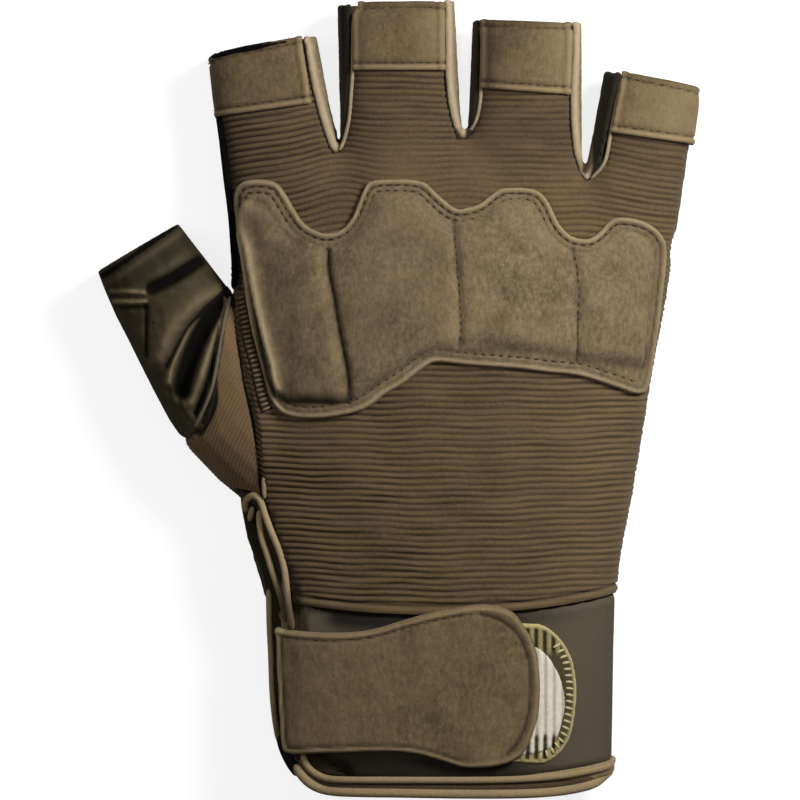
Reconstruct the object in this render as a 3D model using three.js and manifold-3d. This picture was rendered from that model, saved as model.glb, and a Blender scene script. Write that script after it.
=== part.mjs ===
// Fingerless grip glove for a right hand, lying on its palm with the back of the hand up.
// Millimetres, +Z up, fingers along +Y, thumb towards -X.
// The hand's form is a wrist-and-palm loft, four finger lofts and a thumb loft joined together.
// The same form, grown or shrunk, gives the outside of each layer and the hollow inside.
// The wall is then cut along its sewing seams, and each panel between the seams is one solid.
import * as THREE from 'three';
import { mergeVertices } from 'three/addons/utils/BufferGeometryUtils.js';
import Module from 'manifold-3d';

const wasm = await Module();
wasm.setup();

// Driving dimensions
const WALL = 1.6; // knit back, leather palm and thumb
const GAP = 0.3; // between two pieces
const CUFF_WALL = 2.2;
const CUFF_SET_BACK = 0.5; // the cuff lies this far inside the back's surface
const BINDING_PROUD = 0.5; // the binding tape stands this far over the cuff, outside and inside
const BINDING_LIP = 2.4; // its width on each lip of the slit
const BINDING_HEM = 3.4; // its width along the cuff's lower edge
const TAB_THICK = 1.0;
const PAD_FLANGE = 1.3;
const PATCH_THICK = 0.8;
const PATCH_FACE_PROUD = 0.3; // the pile stands this far over the patch's edging
const STRAP_THICK = 2.2;
const SIDE_SEAM_HEIGHT = 9; // back to palm, along the outer sides
const FOURCHETTE_SEAM_HEIGHT = 4; // side strip to palm, between the fingers
const OPEN_END = 3; // the hollow runs this far past each open end
const ABOVE_ALL = 60;
const FAR = 100;

// Wrist and palm, a row for each section. left and right: its sides. side: height of its widest
// line. top: height of its crown. bow: how strongly its ends fall back from its middle.
const PALM_SECTIONS = [
  { y: -87.6, left: -27.8, right: 47.6, side: 11.5, top: 27.6, bow: -0.0019 },
  { y: -66, left: -28.7, right: 47.9, side: 11.5, top: 28.4, bow: -0.0022 },
  { y: -46.6, left: -29.8, right: 48.3, side: 11.5, top: 29.0, bow: -0.0022 },
  { y: -34, left: -33.5, right: 49.8, side: 11.5, top: 29.5, bow: -0.0012 },
  { y: -20, left: -35.6, right: 52.2, side: 11.5, top: 30.0, bow: 0 },
  { y: -4, left: -35.6, right: 54.6, side: 11.5, top: 30.0, bow: 0 },
  { y: 12, left: -36.0, right: 57.4, side: 11.4, top: 29.0, bow: 0 },
  { y: 27, left: -36.5, right: 59.7, side: 11.0, top: 26.4, bow: 0.0012 },
  { y: 39, left: -37.0, right: 60.4, side: 10.4, top: 22.8, bow: 0.0034 },
  { y: 48.6, left: -37.2, right: 60.2, side: 9.6, top: 18.6, bow: 0.0056 },
  { y: 57.4, left: -37.2, right: 59.6, side: 8.8, top: 14.2, bow: 0.0076 },
];
const HEM_ROW = 2; // the ribbed back and the palm begin here, and the cuff ends
const LAST_ROW = PALM_SECTIONS.length - 1;
const BOW_MIDDLE = 6.8;
const PALM_UNDER = -3; // the loft reaches below the table and is pressed flat on it

// Fingers: from a root inside the palm to the open tip. lift: how far the tip rises from the table.
const FINGERS = [
  { rootX: -23.2, rootY: 34, rootWidth: 26.8, tipX: -30.2, tipY: 78.2, tipWidth: 24.2, lift: 1.6 },
  { rootX: 1.2, rootY: 36, rootWidth: 27.4, tipX: -0.8, tipY: 87.3, tipWidth: 26.0, lift: 1.6 },
  { rootX: 27.3, rootY: 30, rootWidth: 26.4, tipX: 28.2, tipY: 83.2, tipWidth: 24.2, lift: 1.4 },
  { rootX: 48.5, rootY: 26, rootWidth: 22.8, tipX: 55.7, tipY: 70.6, tipWidth: 21.2, lift: 1.0 },
];
const FINGER_SIDE = 8.8;
const FINGER_ROOT_TOP = 19.5;
const FINGER_TIP_TOP = 14.8;
const FINGER_UNDER = -1.2;

// Thumb, a row for each section, from inside the palm to the open tip. turn: its lean in degrees.
const THUMB_SECTIONS = [
  { x: -17, y: -21, width: 24, turn: 42, top: 22, under: -3 },
  { x: -26, y: -11, width: 30, turn: 38, top: 24, under: -3 },
  { x: -35.5, y: -1.5, width: 29.6, turn: 33, top: 24.5, under: -3 },
  { x: -42.6, y: 8.6, width: 27.4, turn: 31, top: 23.5, under: -2.5 },
  { x: -48.5, y: 17.8, width: 25, turn: 30.5, top: 22, under: -1.5 },
  { x: -53.5, y: 25.7, width: 23.2, turn: 30.5, top: 20.6, under: -0.4 },
  { x: -57.8, y: 33.3, width: 20.8, turn: 30.5, top: 19.4, under: 0.8 },
];

// Creases of the thumb's leather, which fan out from the crotch: each a groove from one point to another.
const THUMB_CREASES = [
  { fromX: -41, fromY: 25, toX: -57, toY: 16, depth: 1.6, width: 2.6 },
  { fromX: -40, fromY: 21, toX: -52, toY: 7, depth: 1.8, width: 2.8 },
  { fromX: -38, fromY: 17, toX: -45, toY: -2, depth: 1.6, width: 2.6 },
];

// Wrist slit, seen from the thumb's side: the height of its lower and upper lip along the wrist.
const SLIT = [
  { y: -25.5, low: 13.3, high: 19.7 },
  { y: -33, low: 14.2, high: 19.9 },
  { y: -40, low: 15.6, high: 19.6 },
  { y: -48, low: 16.6, high: 19.3 },
  { y: -64, low: 16.4, high: 19.3 },
  { y: -70, low: 13.4, high: 19.4 },
  { y: -75, low: 7.4, high: 19.7 },
  { y: -79, low: 4.4, high: 20.6 },
  { y: -83, low: 1.8, high: 22.6 },
  { y: -86, low: -1, high: 24.4 },
  { y: -94, low: -9, high: 30 },
];
const SLIT_INNER_X = -14; // the slit is cut in from the thumb's side as far as here

// Seams seen from above
const OVERLOCK_SEAM = [[-37.6, 29], [-36.2, 21], [-33.7, 4.4], [-30.4, -12], [-30.2, -24], [-30.8, -32]];
const THUMB_SEAM = [[-37.9, 30], [-37.9, 24], [-39.4, 17], [-41.2, 3], [-43.2, -5], [-46.2, -9], [-58, -6]];
const GUSSET_END = -23; // y of the gusset's end, at the top of the slit
const FOURCHETTES = [
  {
    name: 'fourchette_index_middle',
    seam: [
      [-21.2, 96], [-20.8, 72], [-19.4, 64.6], [-17.6, 58.0], [-15.8, 52.8], [-13.0, 50.6], [-10.8, 53.4],
      [-10.0, 60.0], [-10.2, 72], [-10.4, 96],
    ],
  },
  {
    name: 'fourchette_middle_ring',
    seam: [
      [9.9, 98], [9.9, 73], [10.3, 65.0], [11.2, 57.5], [12.4, 53.8], [14.3, 52.6], [16.4, 53.8],
      [17.5, 57.5], [17.9, 65.0], [18.1, 74], [18.5, 98],
    ],
  },
  {
    name: 'fourchette_ring_little',
    seam: [
      [38.1, 98], [37.3, 67.2], [37.2, 57.0], [38.6, 48.0], [41.2, 44.8], [43.8, 48.4], [45.0, 55.0],
      [46.9, 62], [53.6, 90],
    ],
  },
];
const TABS = [
  { name: 'index_tab', outline: [[-43.6, 76.5], [-21.3, 82], [-19.9, 66.0], [-38.8, 62.6]] },
  { name: 'middle_tab', outline: [[-10.0, 90], [9.6, 90], [9.5, 73.4], [-9.8, 72.8]] },
  { name: 'ring_tab', outline: [[18.8, 86], [37.7, 86], [37.1, 67.4], [18.2, 68.4]] },
  { name: 'little_tab', outline: [[49.9, 75], [67.5, 71], [64.6, 56.8], [46.2, 59.3]] },
];

// Knuckle guard: a scalloped flange with four padded cells, each drawn by a smooth closed curve.
const PAD_OUTLINE = [
  [-36.0, 45.6], [-30.0, 49.0], [-24.6, 45.2], [-21.2, 38.6], [-15.6, 35.9], [-11.2, 38.9],
  [-7.6, 46.4], [0.2, 48.4], [7.4, 46.6], [12.8, 41.9], [18.4, 44.2], [26.0, 46.8], [32.2, 44.2],
  [36.0, 37.2], [41.4, 35.2], [46.2, 39.4], [53.8, 39.2], [58.1, 33.4], [57.6, 19], [54.8, 4.4],
  [51.4, 1.6], [36.0, 4.8], [15.4, 7.5], [6.6, 7.4], [-4.4, -0.4], [-14.6, -4.3], [-25.4, -3.6],
  [-30.0, 3.0], [-33.8, 20.0], [-36.0, 38.0],
];
const PAD_CELLS = [
  [
    [-32.4, 40.0], [-29.6, 43.8], [-26.2, 38.6], [-22.0, 33.0], [-16.6, 31.0], [-14.2, 16],
    [-12.8, 1.4], [-19.6, -0.6], [-26.4, 2.2], [-30.2, 20.0],
  ],
  [
    [-14.2, 32.0], [-9.4, 34.4], [-5.0, 43.0], [2.6, 43.8], [10.6, 38.4], [11.8, 25],
    [11.4, 11.8], [5.0, 10.8], [-8.9, 1.6], [-11.9, 16],
  ],
  [
    [14.0, 38.0], [19.4, 40.0], [27.4, 42.2], [34.0, 33.4], [37.2, 30.8], [37.6, 20],
    [36.8, 8.8], [25.5, 10.6], [14.9, 11.8], [13.6, 25],
  ],
  [
    [39.8, 31.2], [44.0, 32.4], [48.6, 35.6], [53.0, 33.6], [53.6, 24], [50.4, 6.4],
    [40.1, 8.2], [39.9, 20],
  ],
];
const PAD_STEPS = [
  { inset: 0, height: 3.0 },
  { inset: 1.4, height: 4.2 },
];

const STRAP_OUTLINE = [
  [-27.0, -48.8], [-17.6, -51.0], [-6.0, -51.3], [6.6, -47.5], [16.4, -44.8], [24.4, -46.4],
  [29.4, -53.6], [30.9, -64.5], [27.6, -76.2], [21.0, -80.6], [12.6, -80.4], [0.0, -77.6],
  [-14.0, -76.9], [-25.0, -77.0], [-26.4, -63],
];
const PATCH_OUTLINE = [
  [15, -50.0], [27.4, -49.8], [34.4, -53.2], [38.3, -61.4], [38.9, -70.0], [35.6, -77.8],
  [27, -80.3], [15, -79.6],
];
const PATCH_FACE_OUTLINE = [
  [17, -54.2], [28.0, -53.6], [33.0, -57.2], [35.8, -64.6], [35.2, -72.2], [31.4, -76.4],
  [25, -76.8], [17, -76.2],
];

// Materials
const knit = new THREE.MeshStandardMaterial({ color: 0x5d4d37, roughness: 0.95 });
const suede = new THREE.MeshStandardMaterial({ color: 0x7a6a4c, roughness: 1 });
const leather = new THREE.MeshStandardMaterial({ color: 0x2c251d, roughness: 0.5 });
const elastic = new THREE.MeshStandardMaterial({ color: 0x56504a, roughness: 0.8 });
const tape = new THREE.MeshStandardMaterial({ color: 0x6b5a40, roughness: 0.9 });
const overlock = new THREE.MeshStandardMaterial({ color: 0x7d7645, roughness: 0.9 });
const loopPile = new THREE.MeshStandardMaterial({ color: 0xc9c1ac, roughness: 1 });

// A closed three.js geometry as a solid that can be joined and cut
function solidOf(geometry) {
  const bare = geometry.clone();
  bare.deleteAttribute('normal');
  bare.deleteAttribute('uv');
  const merged = mergeVertices(bare, 1e-4);
  const mesh = new wasm.Mesh({
    numProp: 3,
    vertProperties: merged.attributes.position.array,
    triVerts: new Uint32Array(merged.index.array),
  });
  return new wasm.Manifold(mesh);
}

// Joins rings of equal point counts into a closed skin. Seen along the way of travel, they run clockwise
// from one side, and each end is closed by strips that join the points over and under each other.
function loft(rings) {
  const count = rings[0].length;
  const index = [];
  for (let r = 0; r + 1 < rings.length; r++) {
    for (let k = 0; k < count; k++) {
      const next = (k + 1) % count;
      const [a, b] = [r * count + k, r * count + next];
      const [c, d] = [a + count, b + count];
      index.push(a, b, d, a, d, c);
    }
  }
  const last = (rings.length - 1) * count;
  for (let k = 0; k < count / 2; k++) {
    const [under, nextUnder] = [k, k + 1];
    const [over, nextOver] = [(count - k) % count, count - k - 1];
    for (const [p, q, r] of [[under, over, nextOver], [under, nextOver, nextUnder]]) {
      if (p === q || q === r || r === p) continue;
      index.push(p, q, r, last + p, last + r, last + q);
    }
  }
  const geometry = new THREE.BufferGeometry().setFromPoints(rings.flat());
  geometry.setIndex(index);
  return solidOf(geometry);
}

// A rounded box lying across the limb, with its own height over and under its widest line.
// Returns count points, each its distance across and its height.
function roundedSection(count, halfWidth, side, top, under, squareness) {
  const power = (v) => Math.sign(v) * Math.abs(v) ** (2 / squareness);
  return Array.from({ length: count }, (_, k) => {
    const angle = (-2 * Math.PI * k) / count;
    const rise = Math.sin(angle) > 0 ? top - side : side - under;
    return { across: halfWidth * power(Math.cos(angle)), z: side + rise * power(Math.sin(angle)) };
  });
}

// Every column of a table at a place between two of its rows, on a smooth curve
function between(rows, place) {
  const low = Math.min(Math.floor(place), rows.length - 2);
  const t = place - low;
  const row = (i) => rows[THREE.MathUtils.clamp(i, 0, rows.length - 1)];
  const mixed = {};
  for (const column of Object.keys(rows[0])) {
    const [before, from, to, after] = [-1, 0, 1, 2].map((i) => row(low + i)[column]);
    const [slopeFrom, slopeTo] = [(to - before) / 2, (after - from) / 2];
    const bend = 3 * (to - from) - 2 * slopeFrom - slopeTo;
    const twist = 2 * (from - to) + slopeFrom + slopeTo;
    mixed[column] = from + slopeFrom * t + bend * t ** 2 + twist * t ** 3;
  }
  return mixed;
}

const PALM_SIDES = 34;
const PALM_SQUARENESS = 2.35;
const RINGS_PER_ROW = 1.25;
function palmLoft(grow, firstRow, lastRow, startShift, endShift) {
  const steps = Math.round((lastRow - firstRow) * RINGS_PER_ROW);
  const rings = Array.from({ length: steps + 1 }, (_, i) => {
    const row = between(PALM_SECTIONS, firstRow + ((lastRow - firstRow) * i) / steps);
    const shift = i === 0 ? startShift : i === steps ? endShift : 0;
    const middle = (row.left + row.right) / 2;
    const halfWidth = (row.right - row.left) / 2 + grow;
    const section = roundedSection(
      PALM_SIDES, halfWidth, row.side, row.top + grow, PALM_UNDER - grow, PALM_SQUARENESS,
    );
    return section.map(({ across, z }) => {
      const x = middle + across;
      return new THREE.Vector3(x, row.y + shift - row.bow * (x - BOW_MIDDLE) ** 2, z);
    });
  });
  return loft(rings);
}

const FINGER_SIDES = 16;
const FINGER_SQUARENESS = 2.5;
const FINGER_STATIONS = [0, 0.3, 0.65, 1];
const FINGER_ROOT_TAPER = 0.72; // the hidden first section is this much narrower, to leave the palm gently
function fingerLoft(finger, grow, overrun) {
  const root = new THREE.Vector2(finger.rootX, finger.rootY);
  const along = new THREE.Vector2(finger.tipX, finger.tipY).sub(root);
  const length = along.length();
  along.normalize();
  const rings = FINGER_STATIONS.map((share) => {
    const reach = share * length + (share === 1 ? overrun : 0);
    const taper = share === 0 ? FINGER_ROOT_TAPER : 1;
    const width = THREE.MathUtils.lerp(finger.rootWidth, finger.tipWidth, share) * taper;
    const lift = finger.lift * share ** 2;
    const top = THREE.MathUtils.lerp(FINGER_ROOT_TOP, FINGER_TIP_TOP, share) + lift;
    const section = roundedSection(
      FINGER_SIDES, width / 2 + grow, FINGER_SIDE + lift - share, top + grow, FINGER_UNDER + lift - grow,
      FINGER_SQUARENESS,
    );
    return section.map(({ across, z }) => new THREE.Vector3(
      root.x + along.x * reach + along.y * across, root.y + along.y * reach - along.x * across, z,
    ));
  });
  return loft(rings);
}

function creaseDepth(x, y) {
  let depth = 0;
  for (const crease of THUMB_CREASES) {
    const line = new THREE.Line3(
      new THREE.Vector3(crease.fromX, crease.fromY, 0), new THREE.Vector3(crease.toX, crease.toY, 0),
    );
    const point = new THREE.Vector3(x, y, 0);
    const distance = line.closestPointToPoint(point, true, new THREE.Vector3()).distanceTo(point);
    depth += crease.depth * Math.exp(-((distance / crease.width) ** 2));
  }
  return depth;
}

const THUMB_SIDES = 22;
const THUMB_SQUARENESS = 2.25;
const THUMB_RINGS = 11;
function thumbLoft(grow, overrun) {
  const rings = Array.from({ length: THUMB_RINGS }, (_, i) => {
    const row = between(THUMB_SECTIONS, ((THUMB_SECTIONS.length - 1) * i) / (THUMB_RINGS - 1));
    const turn = THREE.MathUtils.degToRad(row.turn);
    const reach = i === THUMB_RINGS - 1 ? overrun : 0;
    const side = (row.top + row.under) / 2;
    const section = roundedSection(
      THUMB_SIDES, row.width / 2 + grow, side, row.top + grow, row.under - grow, THUMB_SQUARENESS,
    );
    return section.map(({ across, z }) => {
      const x = row.x - Math.sin(turn) * reach + Math.cos(turn) * across;
      const y = row.y + Math.cos(turn) * reach + Math.sin(turn) * across;
      const dent = Math.max(z - side, 0) / (row.top - side);
      return new THREE.Vector3(x, y, z - creaseDepth(x, y) * dent);
    });
  });
  return loft(rings);
}

// Cutters
function slab(zLow, zHigh) {
  const box = new THREE.BoxGeometry(4 * FAR, 4 * FAR, zHigh - zLow);
  box.translate(0, 0, (zLow + zHigh) / 2);
  return solidOf(box);
}

function prism(points, zLow, zHigh) {
  const depth = zHigh - zLow;
  const geometry = new THREE.ExtrudeGeometry(new THREE.Shape(points), { depth, bevelEnabled: false });
  geometry.translate(0, 0, zLow);
  return solidOf(geometry);
}

const flatPoints = (pairs) => pairs.map(([x, y]) => new THREE.Vector2(x, y));

function smoothClosed(pairs, pointsPerSpan = 2) {
  const knots = pairs.map(([x, y]) => new THREE.Vector3(x, y, 0));
  const curve = new THREE.CatmullRomCurve3(knots, true, 'centripetal');
  return curve.getPoints(pairs.length * pointsPerSpan).slice(0, -1).map((p) => new THREE.Vector2(p.x, p.y));
}

function smoothOpen(pairs, pointsPerSpan = 2) {
  const knots = pairs.map(([x, y]) => new THREE.Vector3(x, y, 0));
  const curve = new THREE.CatmullRomCurve3(knots, false, 'centripetal');
  return curve.getPoints((pairs.length - 1) * pointsPerSpan).map((p) => new THREE.Vector2(p.x, p.y));
}

// The sideways direction at each point of a run or a closed outline, to the left of its travel
function leftward(points, closed) {
  const last = points.length - 1;
  return points.map((_, i) => {
    const before = points[i > 0 ? i - 1 : closed ? last : 0];
    const after = points[i < last ? i + 1 : closed ? 0 : last];
    const way = after.clone().sub(before).normalize();
    return new THREE.Vector2(-way.y, way.x);
  });
}

// An upright wall as thin as the gap, which cuts two panels apart along their seam
function seamWall(points, zLow) {
  const sideways = leftward(points, false).map((v) => v.multiplyScalar(GAP / 2));
  const leftSide = points.map((p, i) => p.clone().add(sideways[i]));
  const rightSide = points.map((p, i) => p.clone().sub(sideways[i])).reverse();
  return prism([...leftSide, ...rightSide], zLow, ABOVE_ALL);
}

// The outline moved inwards, or outwards by a negative distance, less the points that fold over in corners
function shrunk(points, distance) {
  const turn = THREE.ShapeUtils.isClockWise(points) ? -1 : 1;
  const sideways = leftward(points, true);
  const moved = points.map((p, i) => p.clone().addScaledVector(sideways[i], distance * turn));
  return moved.filter((p) => points.every((q) => p.distanceTo(q) >= 0.96 * Math.abs(distance)));
}

// The hand's form, grown outwards or shrunk inwards, and pressed flat on the table
function handForm(grow, { firstRow = 0, startShift = 0, endShift = 0, overrun = 0, floor = 0 } = {}) {
  const lofts = [palmLoft(grow, firstRow, LAST_ROW, startShift, endShift), thumbLoft(grow, overrun)];
  for (const finger of FINGERS) lofts.push(fingerLoft(finger, grow, overrun));
  return wasm.Manifold.union(lofts).subtract(slab(-FAR, floor));
}

function layer(points, inner, outer, zLow = SIDE_SEAM_HEIGHT) {
  return handForm(outer).subtract(handForm(inner, { overrun: OPEN_END, startShift: -OPEN_END }))
    .intersect(prism(points, zLow, ABOVE_ALL));
}

// The slit's opening, or the opening with its bound lips where it is grown
function slitCut(grow) {
  const { y, low, high } = SLIT[0];
  const middle = (low + high) / 2;
  const radius = (high - low) / 2 + grow;
  const top = Array.from({ length: 7 }, (_, i) => {
    const angle = (Math.PI * (i + 1)) / 8;
    return new THREE.Vector2(y + radius * Math.sin(angle), middle + radius * Math.cos(angle));
  });
  const lower = SLIT.map((row) => new THREE.Vector2(row.y, row.low - grow));
  const upper = SLIT.map((row) => new THREE.Vector2(row.y, row.high + grow)).reverse();
  const geometry = new THREE.ExtrudeGeometry(new THREE.Shape([...upper, ...top, ...lower]), {
    depth: FAR + SLIT_INNER_X + grow, bevelEnabled: false,
  });
  // The drawn y and z become the glove's y and z, and the depth runs along x
  geometry.applyMatrix4(new THREE.Matrix4().makeBasis(
    new THREE.Vector3(0, 1, 0), new THREE.Vector3(0, 0, 1), new THREE.Vector3(1, 0, 0),
  ));
  geometry.translate(-FAR, 0, 0);
  return solidOf(geometry);
}

const glove = new THREE.Group();
glove.name = 'fingerless_grip_glove';
function addPiece(name, solid, material) {
  if (solid.decompose().length !== 1) throw new Error(name + ' is not one body');
  const { vertProperties, triVerts } = solid.getMesh();
  const geometry = new THREE.BufferGeometry();
  geometry.setAttribute('position', new THREE.BufferAttribute(new Float32Array(vertProperties), 3));
  geometry.setIndex(new THREE.BufferAttribute(new Uint32Array(triVerts), 1));
  const mesh = new THREE.Mesh(geometry, material);
  mesh.name = name;
  glove.add(mesh);
}

// Wall of the hand above the cuff, open at the wrist and at the finger ends, cut along its seams
function cutWall() {
  const outside = handForm(0, { firstRow: HEM_ROW });
  const inside = handForm(-WALL, {
    firstRow: HEM_ROW, startShift: -OPEN_END, endShift: -WALL, overrun: OPEN_END, floor: WALL,
  });
  const sideCuts = [
    [[-60, 27], [-33, 27], [-33, 96], [-60, 96]], // index finger's outer side
    [[-70, GUSSET_END], [-24, GUSSET_END], [-24, 28], [-70, 28]], // gusset's lower edge
    [[30, -60], [FAR, -60], [FAR, FAR], [56, FAR], [49, 40], [30, 20]], // little finger's side
  ];
  const cuts = [
    seamWall(flatPoints(OVERLOCK_SEAM), SIDE_SEAM_HEIGHT - GAP),
    seamWall(flatPoints(THUMB_SEAM), -GAP),
    seamWall(flatPoints([[-70, GUSSET_END], [-30.3, GUSSET_END]]), SIDE_SEAM_HEIGHT - GAP),
    slitCut(BINDING_LIP + GAP),
  ];
  for (const cut of sideCuts) cuts.push(prism(flatPoints(cut), SIDE_SEAM_HEIGHT - GAP, SIDE_SEAM_HEIGHT));
  for (const { seam } of FOURCHETTES) {
    const run = smoothOpen(seam);
    cuts.push(seamWall(run, FOURCHETTE_SEAM_HEIGHT - GAP));
    cuts.push(prism(run, FOURCHETTE_SEAM_HEIGHT - GAP, FOURCHETTE_SEAM_HEIGHT));
  }
  return outside.subtract(inside).subtract(wasm.Manifold.union(cuts)).decompose();
}

// The panel that a point lies in
const panels = cutWall();
function panelAt(x, y, z) {
  const probe = new THREE.BoxGeometry(1, 1, 1).translate(x, y, z);
  const found = panels.filter((panel) => panel.intersect(solidOf(probe)).volume() > 0);
  if (found.length !== 1) throw new Error('No single panel at ' + [x, y, z]);
  return found[0];
}
if (panels.length !== 7) throw new Error('The seams cut the wall into ' + panels.length + ' panels');

addPiece('back_panel', panelAt(5, 20, 27), knit);
addPiece('palm_panel', panelAt(5, 20, 0.6), leather);
addPiece('thumb_leather', panelAt(-56, 30, 19.8), leather);
addPiece('thumb_gusset', panelAt(-37, 8, 22.5), knit);
for (const { name, seam } of FOURCHETTES) {
  const [x, y] = seam[Math.floor(seam.length / 2)];
  addPiece(name, panelAt(x, y + 2.4, 8), suede);
}

// Bands of suede over the finger ends
for (const { name, outline } of TABS) {
  addPiece(name, layer(flatPoints(outline), GAP, GAP + TAB_THICK), suede);
}

// Knuckle guard: the flange, and on it each cell in steps that lean inwards
const padLayers = [layer(smoothClosed(PAD_OUTLINE), GAP, GAP + PAD_FLANGE)];
for (const cell of PAD_CELLS) {
  for (const { inset, height } of PAD_STEPS) {
    padLayers.push(layer(shrunk(smoothClosed(cell), inset), GAP, GAP + height));
  }
}
addPiece('knuckle_pad', wasm.Manifold.union(padLayers), suede);

// Wrist: a tube of the hand's section between the cuff's lower edge and the hem of the ribbed back
function wristTube(outer, inner, startShift, endShift) {
  const outside = palmLoft(outer, 0, HEM_ROW, startShift, endShift).subtract(slab(-FAR, 0));
  const hollow = palmLoft(inner, 0, HEM_ROW, -OPEN_END, OPEN_END).subtract(slab(-FAR, -inner));
  return outside.subtract(hollow);
}
const cuffOuter = -CUFF_SET_BACK;
const cuffInner = cuffOuter - CUFF_WALL;
const cuff = wristTube(cuffOuter, cuffInner, BINDING_HEM + GAP, -GAP);
addPiece('wrist_cuff', cuff.subtract(slitCut(BINDING_LIP + GAP)), elastic);

// Binding tape: a frame around the slit, and a band along the cuff's lower edge
const bindingOuter = cuffOuter + BINDING_PROUD;
const bindingInner = cuffInner - BINDING_PROUD;
const boundHollow = handForm(bindingInner, {
  startShift: -OPEN_END, endShift: bindingInner, overrun: OPEN_END, floor: -bindingInner,
});
const boundWall = handForm(bindingOuter).subtract(boundHollow);
const lips = boundWall.intersect(slitCut(BINDING_LIP));
const hemBand = wristTube(bindingOuter, bindingInner, 0, 0)
  .subtract(palmLoft(bindingOuter + 1, 0, HEM_ROW, BINDING_HEM, OPEN_END));
addPiece('edge_binding', lips.add(hemBand).subtract(slitCut(0)), tape);

// Hook-and-loop patch on the cuff: an overlocked border around a ribbed face
const patchInner = cuffOuter + GAP;
const patchOuter = patchInner + PATCH_THICK;
const faceOuter = patchOuter + PATCH_FACE_PROUD;
const patchOutline = smoothClosed(PATCH_OUTLINE);
const faceOutline = smoothClosed(PATCH_FACE_OUTLINE);
const border = layer(patchOutline, patchInner, patchOuter);
const faceRecess = prism(shrunk(faceOutline, -GAP), 0, ABOVE_ALL);
addPiece('closure_patch', border.subtract(faceRecess), overlock);
addPiece('closure_patch_face', layer(faceOutline, patchInner, faceOuter), loopPile);

// Strap over the cuff and the patch, with its root at the slit
const patchCover = prism(shrunk(patchOutline, -GAP), 0, ABOVE_ALL);
const patchRelief = handForm(faceOuter + GAP).intersect(patchCover);
const strap = layer(smoothClosed(STRAP_OUTLINE), GAP, GAP + STRAP_THICK);
addPiece('wrist_strap', strap.subtract(patchRelief), suede);

// The origin is on the table, under the middle of the glove
const middle = new THREE.Box3().setFromObject(glove, true).getCenter(new THREE.Vector3());
glove.position.set(-middle.x, -middle.y, 0);

export default glove;
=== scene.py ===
# Fingerless grip glove for a right hand, lying on its palm with the back of the hand up.
# Fingers point along +Y and the thumb towards -X. Outlines are in millimetres, seen from above.
import math

import bmesh
import bpy
import numpy as np
from mathutils import Matrix, Vector, noise
from mathutils.bvhtree import BVHTree


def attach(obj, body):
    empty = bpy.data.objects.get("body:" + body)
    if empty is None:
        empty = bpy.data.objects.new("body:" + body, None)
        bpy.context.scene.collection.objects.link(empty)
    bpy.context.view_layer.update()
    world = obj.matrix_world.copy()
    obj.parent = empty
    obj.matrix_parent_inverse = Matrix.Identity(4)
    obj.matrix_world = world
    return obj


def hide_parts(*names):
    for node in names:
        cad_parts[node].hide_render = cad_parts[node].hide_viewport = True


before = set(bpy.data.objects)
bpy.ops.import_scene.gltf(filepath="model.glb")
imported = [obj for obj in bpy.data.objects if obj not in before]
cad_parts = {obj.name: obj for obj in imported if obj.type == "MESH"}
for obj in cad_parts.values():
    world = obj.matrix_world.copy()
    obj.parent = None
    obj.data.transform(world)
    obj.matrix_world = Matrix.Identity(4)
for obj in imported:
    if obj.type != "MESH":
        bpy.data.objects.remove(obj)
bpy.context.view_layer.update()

MM = 0.001
scene = bpy.context.scene

# Camera, lamps and table
# The glove is seen from above, from a little beyond its fingertips, through a long lens.
# A large soft lamp beyond the little finger gives light that falls off towards the thumb.
PICTURE_WIDTH = 176 * MM
CAMERA_AWAY = 1.6
CAMERA_LEAN = math.radians(3.5)
TRUE_HEIGHT = 20 * MM
SENSOR = 36
STUDIO_STRENGTH = 0.07
TABLE_SIZE = 3.0
TABLE_GREY = 0.3
TABLE_GLOW = 0.82  # seen by the camera only, so that the table looks white and throws no light
view = bpy.data.objects.new("camera", bpy.data.cameras.new("camera"))
view.data.sensor_width = SENSOR
view.data.lens = SENSOR * CAMERA_AWAY / PICTURE_WIDTH
view.data.clip_start = 0.1
view.data.clip_end = 20
view.location = (
    0,
    CAMERA_AWAY * math.sin(CAMERA_LEAN),
    TRUE_HEIGHT + CAMERA_AWAY * math.cos(CAMERA_LEAN),
)
view.rotation_euler = (-CAMERA_LEAN, 0, 0)
scene.collection.objects.link(view)
scene.camera = view
scene.view_settings.view_transform = "Standard"


def soft_lamp(name, place, size, watts, tint=(1, 1, 1)):
    lamp = bpy.data.objects.new(name, bpy.data.lights.new(name, "AREA"))
    lamp.data.shape = "RECTANGLE"
    lamp.data.size, lamp.data.size_y = size
    lamp.data.energy = watts
    lamp.data.color = tint
    lamp.location = place
    lamp.rotation_euler = Vector(place).to_track_quat("Z", "Y").to_euler()
    scene.collection.objects.link(lamp)


soft_lamp("key_lamp", (0.23, 0.19, 0.29), (0.13, 0.13), 2.0, (1, 0.985, 0.95))
soft_lamp("side_lamp", (-0.30, 0.14, 0.42), (0.2, 0.2), 0.5, (1, 0.99, 0.97))
soft_lamp("fill_lamp", (0.02, 0.05, 0.8), (0.5, 0.5), 0.5)
scene.world = bpy.data.worlds.new("studio")
scene.world.use_nodes = True
studio_light = scene.world.node_tree.nodes["Background"]
studio_light.inputs["Color"].default_value = (1, 1, 1, 1)
studio_light.inputs["Strength"].default_value = STUDIO_STRENGTH


def add(tree, kind, inputs=None, **settings):
    """A node with its settings, and its inputs either set or fed by another node's socket."""
    made = tree.nodes.new("ShaderNode" + kind)
    for key, value in settings.items():
        setattr(made, key, value)
    for key, value in (inputs or {}).items():
        if isinstance(value, bpy.types.NodeSocket):
            tree.links.new(value, made.inputs[key])
        else:
            made.inputs[key].default_value = value
    return made


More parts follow.
